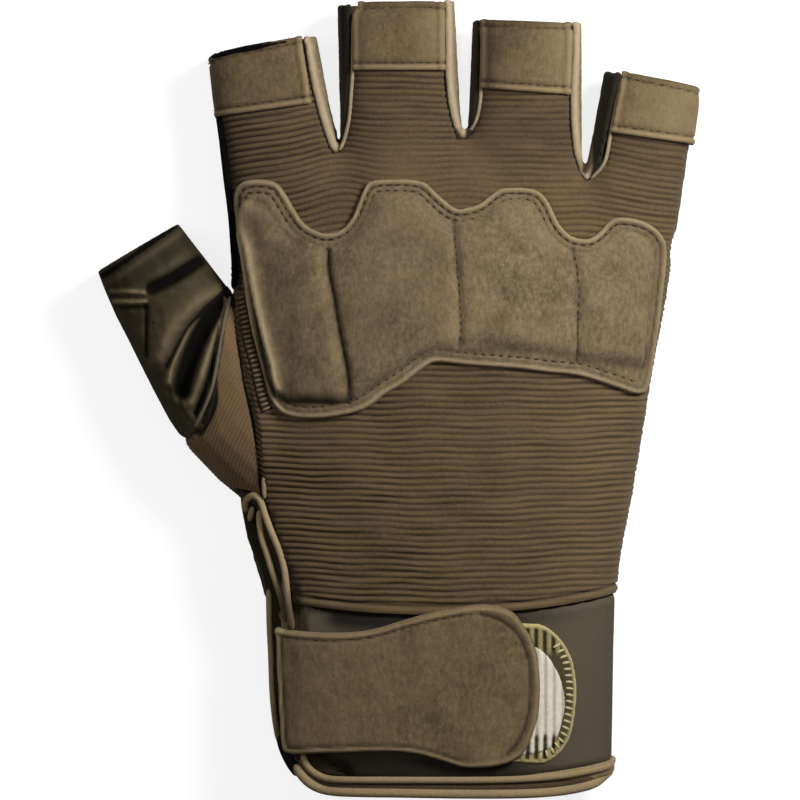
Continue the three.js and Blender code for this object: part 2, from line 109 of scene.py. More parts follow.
def finish_material(name, roughness=0.9):
    """An empty material with its shader: returns the material, its tree and the shader node."""
    material = bpy.data.materials.new(name)
    material.use_nodes = True
    tree = material.node_tree
    shader = tree.nodes["Principled BSDF"]
    shader.inputs["Roughness"].default_value = roughness
    return material, tree, shader


def placed(name, data):
    """A new object in the scene."""
    made = bpy.data.objects.new(name, data)
    scene.collection.objects.link(made)
    return made


def mesh_piece(name, shape):
    """A new mesh object with the shape of a bmesh."""
    mesh = bpy.data.meshes.new(name)
    shape.to_mesh(mesh)
    return placed(name, mesh)


table_top = bmesh.new()
bmesh.ops.create_grid(table_top, x_segments=1, y_segments=1, size=TABLE_SIZE)
table = mesh_piece("table", table_top)
white_top, tree, shader = finish_material("white_table", 0.6)
shader.inputs["Base Color"].default_value = (TABLE_GREY, TABLE_GREY, TABLE_GREY, 1)
seen = add(tree, "LightPath").outputs["Is Camera Ray"]
glow = add(tree, "Math", {0: seen, 1: TABLE_GLOW}, operation="MULTIPLY")
shader.inputs["Emission Color"].default_value = (1, 1, 1, 1)
tree.links.new(glow.outputs[0], shader.inputs["Emission Strength"])
table.data.materials.append(white_top)

# The hand's form
# Every panel is sewn to the shape that the empty glove keeps. That shape is worked out once, from the
# outer skins of the panels, as a wrap: places on it are given by how far across and how far along the
# hand they are. Where the sides turn down, across goes on with the drop in height.
SKINS = [
    "back_panel", "palm_panel", "thumb_leather", "thumb_gusset", "wrist_cuff", "edge_binding",
    "fourchette_index_middle", "fourchette_middle_ring", "fourchette_ring_little",
]
FORM_VOXEL = 1.2 * MM
FORM_ROUNDS = 20
WRAP_STEP = 0.5
LOW_EDGE = 9.0  # the height of the side seam
THUMB_GAP = -40.5  # a place between the thumb and the index finger
THUMB_LOW, THUMB_HIGH = -26, 29  # the thumb joins the hand between these places
GAP_LEAN = 0.6  # the gap between thumb and index finger leans this much
SIDE_REACH = 9  # the side turns down within this distance of the top's edge
HEM_END = -84
SLIT_FROM = -48  # the wrist slit is this side of here
SLIT_EDGE = -21  # the wrist slit's edge, with the slope of the form beside it and its lowest height
SLIT_SLOPE = 0.68
SLIT_LOWEST = 8
ACROSS = np.arange(-92, 92.01, WRAP_STEP)
ALONG = np.arange(-88, 88.01, WRAP_STEP)


def finished_mesh(draft):
    """The mesh of an object as it is after its modifiers or its bevel."""
    return bpy.data.meshes.new_from_object(draft.evaluated_get(bpy.context.evaluated_depsgraph_get()))


def tree_of(mesh):
    """A mesh made ready for rays and for the nearest place on it."""
    shape = bmesh.new()
    shape.from_mesh(mesh)
    return BVHTree.FromBMesh(shape)


def softened(name, node_names, voxel, rounds):
    """One mesh object with the shape of some CAD nodes, their facets smoothed away."""
    skin = bmesh.new()
    for node_name in node_names:
        skin.from_mesh(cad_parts[node_name].data)
    bmesh.ops.remove_doubles(skin, verts=skin.verts, dist=0.001 * MM)
    draft = mesh_piece(name, skin)
    remesh = draft.modifiers.new("remesh", "REMESH")
    remesh.mode = "VOXEL"
    remesh.voxel_size = voxel
    smooth = draft.modifiers.new("smooth", "SMOOTH")
    smooth.factor = 0.5
    smooth.iterations = rounds
    finished = finished_mesh(draft)
    bpy.data.objects.remove(draft)
    piece = placed(name, finished)
    for face in piece.data.polygons:
        face.use_smooth = True
    return piece


def points_of(mesh, field="co"):
    """The places of a mesh's points in metres, or their outward ways."""
    values = np.zeros(len(mesh.vertices) * 3, np.float32)
    mesh.vertices.foreach_get(field, values)
    return values.reshape(-1, 3).astype(float)


form = softened("form", SKINS, FORM_VOXEL, FORM_ROUNDS)
form_tree = tree_of(form.data)
bpy.data.objects.remove(form)


def hit(place, direction):
    """Where a ray first meets the form, in millimetres."""
    found = form_tree.ray_cast(Vector(place) * MM, Vector(direction))[0]
    return None if found is None else found / MM


def wrap_row(y):
    """x and z of the form at each step across, for one place along the hand."""
    xs = np.arange(-68, 68.01, WRAP_STEP)
    tops = [hit((x, y, 90), (0, 0, -1)) for x in xs]
    known = np.array([t is not None and t.z > LOW_EDGE for t in tops])

    # the thumb stands apart from the fingers and isn't part of the top there
    gap = THUMB_GAP - (y - THUMB_HIGH) * GAP_LEAN
    if y >= THUMB_HIGH:
        known &= xs > gap
    if not known.any():
        return None
    z = np.interp(xs, xs[known], [t.z for t, k in zip(tops, known) if k])
    slope = np.gradient(z, WRAP_STEP)
    heights = np.arange(3, 32, WRAP_STEP)
    row_x = ACROSS.copy()
    row_z = np.interp(ACROSS, xs, z)
    thumb_side = THUMB_LOW < y < THUMB_HIGH

    # from where the top gets steeper than 45 degrees, the side is found with rays from beside it
    for side in (1, -1):
        if side < 0 and thumb_side:
            continue
        edge = np.flatnonzero(known)[-1 if side > 0 else 0]
        while slope[edge] * side < -1:
            edge -= side
        start = 90 if side > 0 else -90 if y < 0 else gap
        found = [(h, hit((start, y, h), (-side, 0, 0))) for h in heights if h < z[edge]]
        found = [(h, f.x) for h, f in found if f is not None and abs(f.x - xs[edge]) < SIDE_REACH]
        if len(found) < 3:
            continue
        turn = abs(xs[edge]) + z[edge] if side * xs[edge] > 0 else z[edge] - abs(xs[edge])
        beyond = ACROSS * side > xs[edge] * side
        row_z[beyond] = np.maximum(turn - ACROSS[beyond] * side, 3)
        row_x[beyond] = np.interp(row_z[beyond], [h for h, _ in found], [x for _, x in found])
    return row_x, row_z


def evened(values, rounds):
    """A grid of values with each one drawn towards its neighbours."""
    for _ in range(rounds):
        for axis in (0, 1):
            padded = np.pad(values, [(1, 1) if a == axis else (0, 0) for a in (0, 1)], mode="edge")
            before = padded[:-2] if axis == 0 else padded[:, :-2]
            after = padded[2:] if axis == 0 else padded[:, 2:]
            values = 0.25 * before + 0.5 * values + 0.25 * after
    return values


# rows past the fingertips repeat the last one known, and the wrist is drawn on past the slit and the hem
wrap_rows = [wrap_row(y) for y in ALONG]
first_known = next(row for row in wrap_rows if row is not None)
for place, row in enumerate(wrap_rows):
    if row is None:
        wrap_rows[place] = wrap_rows[place - 1] if place else first_known
wrap_x = evened(np.array([row[0] for row in wrap_rows]), 3)
wrap_z = evened(np.array([row[1] for row in wrap_rows]), 3)
past_hem = ALONG < HEM_END
wrap_x[past_hem] = wrap_x[np.flatnonzero(~past_hem)[0]]
wrap_z[past_hem] = wrap_z[np.flatnonzero(~past_hem)[0]]
at_wrist = ALONG < SLIT_FROM
beside_slit = ACROSS < SLIT_EDGE
slope_there = SLIT_SLOPE * (ACROSS[beside_slit] - SLIT_EDGE)
over_slit = wrap_z[:, np.flatnonzero(~beside_slit)[0]][:, None] + slope_there
wrap_z[np.ix_(at_wrist, beside_slit)] = np.maximum(over_slit, SLIT_LOWEST)[at_wrist]
wrap_x[np.ix_(at_wrist, beside_slit)] = ACROSS[beside_slit]
across_x, along_x = np.gradient(wrap_x, WRAP_STEP, axis=1), np.gradient(wrap_x, WRAP_STEP, axis=0)
across_z, along_z = np.gradient(wrap_z, WRAP_STEP, axis=1), np.gradient(wrap_z, WRAP_STEP, axis=0)
wrap_out = np.stack([-across_z, along_x * across_z - across_x * along_z, across_x], axis=-1)
wrap_out /= np.linalg.norm(wrap_out, axis=-1, keepdims=True)
wrap_out = np.stack([evened(wrap_out[..., k], 4) for k in range(3)], axis=-1)
wrap_out /= np.linalg.norm(wrap_out, axis=-1, keepdims=True)

# Fingers: the middle of each open end and the way that it points
FINGERS = {
    "index": {"end": (-30.2, 78.2), "way": (-0.156, 0.988)},
    "middle": {"end": (-0.8, 87.3), "way": (-0.039, 0.999)},
    "ring": {"end": (28.2, 83.2), "way": (0.017, 1.0)},
    "little": {"end": (55.7, 70.6), "way": (0.159, 0.987)},
}
END_ROUNDING = 2.2  # the form is rounded off this far from the open ends, so it is read from before that
SIDE_OF_OUTER, SIDE_OF_INNER = 22, 13.5  # how far an outer or an inner side of a finger is from its middle


def read_grid(table, across, along, step, u, y):
    """Values between the points of an even grid."""
    column = np.clip((u - across[0]) / step, 0, len(across) - 1.001)
    line = np.clip((y - along[0]) / step, 0, len(along) - 1.001)
    c, r = column.astype(int), line.astype(int)
    cf, rf = column - c, line - r
    if table.ndim == 3:
        cf, rf = cf[..., None], rf[..., None]
    low = table[r, c] * (1 - cf) + table[r, c + 1] * cf
    high = table[r + 1, c] * (1 - cf) + table[r + 1, c + 1] * cf
    return low * (1 - rf) + high * rf


def read_wrap(table, u, y):
    return read_grid(table, ACROSS, ALONG, WRAP_STEP, u, y)


def on_form(u, y, lift):
    """Places lift millimetres over the form, in metres, and the outward ways there."""
    u, y = np.asarray(u, float), np.asarray(y, float)
    back_x, back_y = np.zeros_like(u), np.zeros_like(y)
    for finger in FINGERS.values():
        (ex, ey), (wx, wy) = finger["end"], finger["way"]
        sideways = (u - ex) * wy - (y - ey) * wx
        reach = (u - ex) * wx + (y - ey) * wy + END_ROUNDING
        left = SIDE_OF_OUTER if finger is FINGERS["index"] else SIDE_OF_INNER
        right = SIDE_OF_OUTER if finger is FINGERS["little"] else SIDE_OF_INNER
        near = (sideways > -left) & (sideways < right) & (reach > 0) & (y > 60)
        back_x = np.where(near, reach * wx, back_x)
        back_y = np.where(near, reach * wy, back_y)
    x = read_wrap(wrap_x, u - back_x, y - back_y) + back_x
    z = read_wrap(wrap_z, u - back_x, y - back_y)
    out = read_wrap(wrap_out, u - back_x, y - back_y)
    out /= np.linalg.norm(out, axis=-1, keepdims=True)
    place = np.stack([x, y, z], axis=-1) + out * np.asarray(lift, float)[..., None]
    return place * MM, out


# Ribbed back
# A brown stretch fabric with raised ribs across the hand, sewn to the palm along both sides and hemmed
# over the cuff. The ribs lean with the outer fingers and arch where the fabric is pulled between the
# index and the middle finger.
RIB_PITCH = 1.37
RIB_ROWS = 5
RIB_COLUMN = 1.5
BACK_THICK = 1.3
EDGE_SHADE = 0.6  # painted shade: the cut edge and the underside of every sheet are this dark
HEM_Y = -46.6
HEM_BOW = 0.0022
WRIST_MIDDLE = 6.8
HEM_STITCH = 1.9  # how far the hem's stitching is from its edge


def from_picture(points, lift=0.0):
    """Places seen from above of points that the camera sees at given places, on or over the form."""
    seen = np.array(points, float)
    flat = seen.copy()
    away = CAMERA_AWAY / MM
    lean_in, lean_up = math.sin(CAMERA_LEAN), math.cos(CAMERA_LEAN)
    for _ in range(3):
        height = read_wrap(wrap_z, flat[:, 0], flat[:, 1]) + lift - TRUE_HEIGHT / MM
        nearer = (away - flat[:, 1] * lean_in - height * lean_up) / away
        flat = np.stack([seen[:, 0] * nearer, (seen[:, 1] * nearer + height * lean_in) / lean_up], axis=1)
    return flat


def side_across(y, side, height=LOW_EDGE):
    """How far across the side seam lies, at a place along the hand."""
    row = int(round((y - ALONG[0]) / WRAP_STEP))
    columns = np.flatnonzero(ACROSS * side > 20 if side > 0 else ACROSS < -20)
    heights = wrap_z[row, columns]
    order = columns if side > 0 else columns[::-1]
    for column in order:
        if wrap_z[row, column] <= height and abs(ACROSS[column]) > 30:
            return ACROSS[column]
    return ACROSS[order[-1]]


def smooth_line(corners, closed=False, spacing=1.0):
    """A smooth curve through given corners, as evenly spaced points."""
    corners = [np.array(c, float) for c in corners]
    count = len(corners)
    spans = count if closed else count - 1
    fine = []
    for s in range(spans):
        a, b, c, d = [
            corners[(s + k) % count] if closed else corners[min(max(s + k, 0), count - 1)]
            for k in (-1, 0, 1, 2)
        ]
        for t in np.linspace(0, 1, 12, endpoint=False):
            slope_b, slope_c = (c - a) / 2, (d - b) / 2
            fine.append(
                (2 * t**3 - 3 * t**2 + 1) * b + (t**3 - 2 * t**2 + t) * slope_b
                + (-2 * t**3 + 3 * t**2) * c + (t**3 - t**2) * slope_c
            )
    fine.append(corners[0] if closed else corners[-1])
    return even_points(np.array(fine), spacing)[: -1 if closed else None]


def even_points(line, spacing):
    """Evenly spaced points along a line."""
    steps = np.linalg.norm(np.diff(line, axis=0), axis=1)
    run = np.concatenate([[0], np.cumsum(steps)])
    marks = np.linspace(0, run[-1], max(2, int(round(run[-1] / spacing)) + 1))
    return np.stack([np.interp(marks, run, column) for column in line.T], axis=1)


def distance_to(u, y, line, closed=False):
    """Distance from each place to a line, in the flat."""
    line = np.asarray(line, float)
    if closed:
        line = np.vstack([line, line[:1]])
    u, y = np.asarray(u, float).ravel(), np.asarray(y, float).ravel()
    nearest = np.full(u.shape, 1e9)
    for (ax, ay), (bx, by) in zip(line[:-1], line[1:]):
        dx, dy = bx - ax, by - ay
        t = np.clip(((u - ax) * dx + (y - ay) * dy) / max(dx * dx + dy * dy, 1e-12), 0, 1)
        nearest = np.minimum(nearest, (u - ax - t * dx) ** 2 + (y - ay - t * dy) ** 2)
    return np.sqrt(nearest)


def inside(u, y, outline):
    u, y = np.asarray(u, float), np.asarray(y, float)
    crossings = np.zeros(u.shape, bool)
    ring = np.asarray(outline, float)
    for (ax, ay), (bx, by) in zip(ring, np.roll(ring, -1, axis=0)):
        spans = (ay > y) != (by > y)
        at = ax + (y - ay) / np.where(by == ay, 1e-9, by - ay) * (bx - ax)
        crossings ^= spans & (u < at)
    return crossings


def bump(distance, middle, width):
    """1 at a distance from something, and gone to nothing about twice the width away from there."""
    return np.exp(-(((distance - middle) / width) ** 2))


def rounded(distance, radius):
    """A rounded edge: 0 at the rim and 1 from the radius inwards."""
    return np.sqrt(np.clip(1 - (1 - np.clip(distance / radius, 0, 1)) ** 2, 0, 1))


def eased(value, low, high):
    """0 at low and 1 at high, with a soft start and end."""
    t = np.clip((value - low) / (high - low), 0, 1)
    return t * t * (3 - 2 * t)


def uneven(u, y, size, seed):
    """Smooth unevenness between -1 and 1, with lumps of a given size."""
    return np.array([noise.noise(Vector((a / size, b / size, seed))) for a, b in zip(u, y)])


def cut_rows(flat, axis, marks):
    """Cuts the flat piece along lines at each mark. Rows are cut first, from the piece not yet cut."""
    way = Vector((1, 0, 0)) if axis == 0 else Vector((0, 1, 0))
    rest = list(flat.verts) + list(flat.edges) + list(flat.faces)
    for mark in marks:
        cut = bmesh.ops.bisect_plane(flat, geom=rest, dist=1e-5, plane_co=way * mark, plane_no=way)
        if axis == 0:
            rest = list(flat.verts) + list(flat.edges) + list(flat.faces)
            continue
        faces = [
            f for f in cut["geom"]
            if isinstance(f, bmesh.types.BMFace) and f.calc_center_median().y > mark
        ]
        rest = list({v for f in faces for v in f.verts}) + list({e for f in faces for e in f.edges}) + faces
        if not faces:
            break


def marks(low, high, step):
    """Round steps from low to high."""
    return np.arange(math.ceil(low / step) * step, high, step)


def draped(name, outline, row_marks, column_marks, shape):
    """A closed piece cut to a flat outline and laid on the form. shape gives, for each place in the
    flat, the place along the hand, the heights of its lower and upper faces, its wear and painted light,
    and its painted shade."""
    flat = bmesh.new()
    ring = [flat.verts.new((u, v, 0)) for u, v in outline]
    flat.faces.new(ring)
    cut_rows(flat, 1, row_marks)
    cut_rows(flat, 0, column_marks)
    bmesh.ops.remove_doubles(flat, verts=flat.verts, dist=0.04)
    risen = bmesh.ops.extrude_face_region(flat, geom=list(flat.faces))
    upper = {v for v in risen["geom"] if isinstance(v, bmesh.types.BMVert)}
    flat_map = flat.loops.layers.uv.new("flat")
    for face in flat.faces:
        for loop in face.loops:
            loop[flat_map].uv = loop.vert.co.xy * MM
    flat.verts.ensure_lookup_table()
    u = np.array([v.co.x for v in flat.verts])
    v = np.array([p.co.y for p in flat.verts])
    top = np.array([p in upper for p in flat.verts])
    y, under, over, wear_and_painted_light, painted_shade = shape(u, v)
    places, _ = on_form(u, y, np.where(top, over, under))
    for vertex, place in zip(flat.verts, places):
        vertex.co = place
    bmesh.ops.recalc_face_normals(flat, faces=flat.faces)
    piece = mesh_piece(name, flat)
    mark_surface(piece, np.where(top, wear_and_painted_light, 0), np.where(top, painted_shade, EDGE_SHADE))
    return piece


def mark_surface(piece, wear_and_painted_light, painted_shade):
    """Stores where a surface is paler, from wear and painted light, and where it is painted dark, as shade
    in stitching, grooves and shadows.
    """
    for face in piece.data.polygons:
        face.use_smooth = True
    for label, values in (("wear_and_painted_light", wear_and_painted_light), ("painted_shade", painted_shade)):
        layer = piece.data.attributes.new(label, "FLOAT", "POINT")
        layer.data.foreach_set("value", np.clip(values, 0, 1).astype(np.float32))


def sew(piece, slot, material, *replaced):
    """Gives a finished piece its material and its place on the glove, and hides the CAD nodes that it
    replaces.
    """
    piece.data.materials.append(material)
    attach(piece, "root")
    if replaced:
        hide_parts(*replaced)


FINGER_SEAMS = {
    "index_middle": [
        (-21.6, 79.4), (-20.8, 75.7), (-19.6, 69.4), (-18, 63.2), (-16.5, 58.3), (-15.4, 55.4),
        (-14.4, 54.2), (-13.4, 54.8), (-12.4, 56.8), (-11.4, 60.6), (-11, 63.4), (-10.7, 68.2),
        (-10.4, 72.6), (-10.3, 79.2), (-10.2, 86.4),
    ],
    "middle_ring": [
        (9.6, 86.8), (9.7, 81.4), (9.8, 74.8), (10, 69.3), (10.6, 64.9), (11.4, 61.2), (12.3, 59),
        (13.4, 57.5), (14.5, 57.9), (15.6, 59.3), (16.7, 61.4), (17.4, 63.8), (17.8, 67.5), (18, 72.6),
        (18.1, 82.8),
    ],
    "ring_little": [
        (37.8, 82.1), (37.6, 72.5), (37.4, 66.9), (37.6, 60.1), (38.2, 54.6), (39.5, 50.5),
        (41, 48.1), (42.6, 49.3), (44.4, 51.1), (45.4, 53.3), (46.3, 58.3), (47.5, 64.5), (48.7, 71.3),
    ],
}
FINGER_SEAMS = {name: from_picture(line) for name, line in FINGER_SEAMS.items()}
WRIST_AND_THUMB_SIDE = [
    (-37.8, 28.4), (-36.6, 21), (-34.0, 4.4), (-31.9, -4), (-30.7, -12), (-30.4, -19), (-29.6, -23),
    (-28.2, -27), (-26.6, -33), (-24.7, -40), (-23.4, -46.0),
]


def hem_line(u):
    """The hem over the cuff, which is bowed."""
    return HEM_Y + HEM_BOW * (np.minimum(u, 47) - WRIST_MIDDLE) ** 2


def side_run(y_from, y_to, side):
    """Points along a side seam."""
    ys = np.arange(y_from, y_to, 1.5 if y_to > y_from else -1.5)
    return [(side_across(y, side), y) for y in ys]


def back_outline():
    line = [(u, hem_line(u)) for u in np.arange(-24, side_across(-42, 1) - 1, 3)]
    line += side_run(-42, 68, 1)
    line += [(side_across(67.5, 1), 68.8), (66.0, 68.95)]
    for seam in ("ring_little", "middle_ring", "index_middle"):
        line += [tuple(p) for p in smooth_line(FINGER_SEAMS[seam])[::-1]]
    line += [(-41.6, 75.0), (side_across(74, -1), 74.6)]
    line += side_run(74, 29, -1)
    line += [tuple(p) for p in smooth_line(WRIST_AND_THUMB_SIDE)]
    return line


def to_nearest(turns, pitch):
    """Distance to the nearest of evenly spaced lines, from how many pitches along a place is."""
    return np.abs((turns + 0.5) % 1 - 0.5) * pitch


def rib_lean(u, y):
    """How far the ribs are pulled along the hand from a straight line."""
    index_side = -0.165 * np.logaddexp(0, -(u + 16) / 2.5) * 2.5 * eased(y, 8, 42)
    little_side = -0.15 * np.logaddexp(0, (u - 40) / 3) * 3 * eased(y, 14, 50)
    pulled = 1.5 * bump(u, -13.5, 7) * bump(y, 46, 12) + 0.9 * bump(u, 14.5, 6) * bump(y, 47, 9)
    pulled += 0.9 * bump(u, 41, 6) * bump(y, 39, 9)
    sway = 0.35 * np.sin(u / 11 + 0.7) * np.sin(y / 17 + 0.4) + 0.14 * np.sin(u / 3.1 + y / 9)
    return index_side + little_side + pulled + sway


def rib_shape(u, v):
    y = v.copy()
    for _ in range(10):
        y = v + rib_lean(u, y)

    # each rib's crest and groove, with its own tone and depth
    drawn = (v + 0.17 * uneven(u * 0.3, v * 0.8, 1.3, 3.9)) / RIB_PITCH
    rib_tone = uneven(u * 0.09, np.floor(drawn) * 2.3, 1, 6.1)
    groove_tone = uneven(u * 0.12, np.round(drawn) * 1.7, 1, 2.2)
    groove = bump(to_nearest(drawn, RIB_PITCH), 0, 0.24 + 0.1 * groove_tone)
    depth = (0.34 + 0.16 * eased(u, 30, -25)) * (1 + 0.6 * groove_tone)

    # weaker on the sides, where the fabric is pulled smooth between the fingers, and on the hem
    hem = y - hem_line(u)
    out_of_sight = read_wrap(wrap_out, u, y)[:, 2]
    on_side = eased(out_of_sight, 0.78, 0.45)
    finger_side = on_side * (u < 0) * (y > 27)
    depth *= (1 - 0.5 * on_side) * (1 - 0.5 * finger_side)
    smooth_patch = bump(y, 52, 8) * np.maximum(bump(u, 0, 11), 0.9 * bump(u, 17, 8))
    smooth_patch = np.maximum(smooth_patch, 0.8 * bump(y, 50, 6) * bump(u, 42, 6))
    worn_ribs = 0.5 * uneven(u * 0.2, y, 1.9, 8.4) + 0.35 * uneven(u, y * 0.7, 9, 1.9)
    index_side = eased(u, -14, -34) * eased(y, 20, 45)
    strength = (1 + worn_ribs) * (1 - 0.82 * smooth_patch) * (1 + 0.45 * index_side)
    depth *= strength
    plain = eased(hem, HEM_STITCH, 1.5)
    over = -groove * depth * (1 - plain) + 0.3 * bump(hem, 0.8, 0.55) - 0.45 * bump(hem, HEM_STITCH, 0.25)
    over += 0.10 * uneven(u, y, 9, 3.1)
    thumb_edge = distance_to(u, y, WRIST_AND_THUMB_SIDE)
    over -= 0.7 * (1 - rounded(thumb_edge, 0.8))
    finger_edge = np.min([distance_to(u, y, line) for line in FINGER_SEAMS.values()], axis=0)
    over -= 0.35 * (1 - rounded(finger_edge, 0.6))
    over += 0.12 * uneven(u * 0.25, y * 2.2, 1.6, 4.7) * (1 - plain)

    # painted shade in the grooves and the hem's stitch line, on the thumb's side of the index finger and
    # beside the slit
    slit_edge = eased(y, -18, -30)
    painted_shade = 0.72 * strength * groove * (1 - plain) * (1 - 0.25 * eased(u, -10, 30))
    painted_shade += 0.7 * bump(hem, HEM_STITCH, 0.3)
    slit_gap = 0.5 + 1.9 * eased(y, -27, -42)
    painted_shade += 0.95 * finger_side + 1.1 * eased(thumb_edge, 1.25 * slit_gap, 0.75 * slit_gap) * slit_edge

    # crests paler with wear and painted light, most of all beside the slit; painted light over the little
    # finger's knuckle and painted shade towards the middle, ring and little fingers
    seen_groove = groove * np.clip(strength, 0, 1)
    wear_and_painted_light = (1 - seen_groove) * (0.28 + 0.5 * rib_tone * (1 - 0.8 * smooth_patch)) + 0.3 * plain
    over += 0.12 * rib_tone * (1 - groove) * (1 - plain) * (1 - smooth_patch)
    wear_and_painted_light += 0.35 * eased(u, -2, -26) * eased(y, 6, -22) * (1 - groove)
    wear_and_painted_light += 0.6 * eased(u, 18, 44) * eased(y, 50, 30) * (1 - groove)
    painted_shade += (0.08 + 0.1 * eased(u, 8, 22)) * eased(y, 46, 58) * eased(u, -14, -8)
    return y, np.full(u.shape, -BACK_THICK), over, wear_and_painted_light, painted_shade


BACK_EDGE = np.array(back_outline())
outline_v = BACK_EDGE[:, 1] - rib_lean(BACK_EDGE[:, 0], BACK_EDGE[:, 1])
outline = np.stack([BACK_EDGE[:, 0], outline_v], axis=1)
rows = marks(outline_v.min(), outline_v.max(), RIB_PITCH / RIB_ROWS)
columns = marks(BACK_EDGE[:, 0].min(), BACK_EDGE[:, 0].max(), RIB_COLUMN)
ribbed_back = draped("ribbed_back", outline, rows, columns, rib_shape)


def surface_group(name, inputs, outputs):
    """An empty node group with named number inputs, a vector input and number outputs."""
    group = bpy.data.node_groups.new(name, "ShaderNodeTree")
    group.interface.new_socket("Vector", in_out="INPUT", socket_type="NodeSocketVector")
    for label, value in inputs.items():
        socket = group.interface.new_socket(label, in_out="INPUT", socket_type="NodeSocketFloat")
        socket.default_value = value
    for label in outputs:
        group.interface.new_socket(label, in_out="OUTPUT", socket_type="NodeSocketFloat")
    start = group.nodes.new("NodeGroupInput")
    end = group.nodes.new("NodeGroupOutput")
    return group, start, end


def maths(tree, operation, a, b=0.0, c=0.0):
    """The result of a sum of up to three numbers or sockets."""
    return add(tree, "Math", {0: a, 1: b, 2: c}, operation=operation).outputs[0]


def in_millimetres(group, vector):
    return add(group, "VectorMath", {0: vector, "Scale": 1 / MM}, operation="SCALE").outputs[0]


def noise_of(group, vector, scale, detail, roughness):
    settings = {"Vector": vector, "Scale": scale, "Detail": detail, "Roughness": roughness}
    return add(group, "TexNoise", settings).outputs[0]


def stretched(tree, value, low, high):
    """A value drawn out so that low to high becomes 0 to 1."""
    return add(tree, "MapRange", {"Value": value, "From Min": low, "From Max": high}).outputs[0]


def fibre_group():
    """Loose fibres and uneven dye: fine flecks drawn out one way over broad patches."""
    group, start, end = surface_group(
        "fibre", {"Fleck Size": 1.0, "Patch Size": 9.0, "Stretch": 2.0}, ["Shade", "Patch", "Height"],
    )
    grain = start.outputs
    scaled = in_millimetres(group, grain["Vector"])
    squeeze = maths(group, "DIVIDE", 1.0, grain["Stretch"])
    squash = add(group, "CombineXYZ", {"X": 1.0, "Y": squeeze, "Z": 1.0}).outputs[0]
    drawn = add(group, "VectorMath", {0: scaled, 1: squash}, operation="MULTIPLY").outputs[0]
    fleck = noise_of(group, drawn, maths(group, "DIVIDE", 1.0, grain["Fleck Size"]), 4.0, 0.6)
    patch = noise_of(group, scaled, maths(group, "DIVIDE", 1.0, grain["Patch Size"]), 3.0, 0.55)
    fuzz = noise_of(group, drawn, 3.4, 2.0, 0.7)
    group.links.new(stretched(group, fleck, 0.3, 0.7), end.inputs["Shade"])
    group.links.new(stretched(group, patch, 0.32, 0.68), end.inputs["Patch"])
    group.links.new(maths(group, "MULTIPLY_ADD", fuzz, 0.6, fleck), end.inputs["Height"])
    return group


def stitch_group():
    """Rows of small knitted loops along each rib, from the flat pattern of the piece."""
    sizes = {"Loop Width": 0.62, "Loop Height": 0.69}
    group, start, end = surface_group("knit_loops", sizes, ["Height", "Shade"])
    given = start.outputs
    parts = add(group, "SeparateXYZ", {0: in_millimetres(group, given["Vector"])})
    row = maths(group, "DIVIDE", parts.outputs["Y"], given["Loop Height"])
    slant = maths(group, "PINGPONG", row, 0.5)
    straight = maths(group, "DIVIDE", parts.outputs["X"], given["Loop Width"])
    column = maths(group, "MULTIPLY_ADD", slant, 0.9, straight)
    wave = maths(group, "PINGPONG", column, 0.5)
    crown = maths(group, "SINE", maths(group, "MULTIPLY", wave, 2 * math.pi))
    height = maths(group, "MULTIPLY_ADD", crown, 0.5, 0.5)
    group.links.new(height, end.inputs["Height"])
    group.links.new(maths(group, "MULTIPLY_ADD", height, 0.6, 0.4), end.inputs["Shade"])
    return group


FIBRE = fibre_group()
KNIT_LOOPS = stitch_group()


def blend(tree, factor, first, second, mode="MIX"):
    made = add(tree, "Mix", {0: factor, 6: first, 7: second}, data_type="RGBA", blend_type=mode)
    return made.outputs[2]


def attribute(tree, label):
    return add(tree, "Attribute", attribute_name=label).outputs["Fac"]


def colour(red, green, blue):
    return (red, green, blue, 1)


def placed_group(tree, group, vector, **values):
    """The outputs of a node group fed with a vector and its numbers."""
    made = tree.nodes.new("ShaderNodeGroup")
    made.node_tree = group
    tree.links.new(vector, made.inputs["Vector"])
    for label, value in values.items():
        made.inputs[label.replace("_", " ")].default_value = value
    return made.outputs


def object_place(tree):
    return add(tree, "TexCoord").outputs["Object"]


def flat_place(tree):
    return add(tree, "UVMap", uv_map="flat").outputs["UV"]


def times(tint, factor):
    """A colour made lighter or darker by one factor, or by one for each of red, green and blue."""
    factors = (factor,) * 3 if isinstance(factor, (int, float)) else factor
    return tuple(min(1, c * k) for c, k in zip(tint[:3], factors)) + (1,)


def painted_wear_light_and_shade(tree, base, pale, most_wear_and_light, deep, most_shade):
    """A colour that goes pale where the piece is worn and where light is painted, and deep where shade is
    painted, in grooves and shadows.
    """
    worn_and_lit = blend(tree, maths(tree, "MULTIPLY", attribute(tree, "wear_and_painted_light"), most_wear_and_light), base, pale)
    return blend(tree, maths(tree, "MULTIPLY", attribute(tree, "painted_shade"), most_shade), worn_and_lit, deep)


def join_up(tree, shader, base, height, strength, depth, specular):
    """Feeds a shader its colour and its relief, depth millimetres deep, and sets its gloss."""
    relief = add(tree, "Bump", {"Strength": strength, "Distance": depth * MM, "Height": height})
    tree.links.new(base, shader.inputs["Base Color"])
    tree.links.new(relief.outputs[0], shader.inputs["Normal"])
    shader.inputs["Specular IOR Level"].default_value = specular


def soft_sheen(shader, weight, roughness, tint):
    shader.inputs["Sheen Weight"].default_value = weight
    shader.inputs["Sheen Roughness"].default_value = roughness
    shader.inputs["Sheen Tint"].default_value = tint


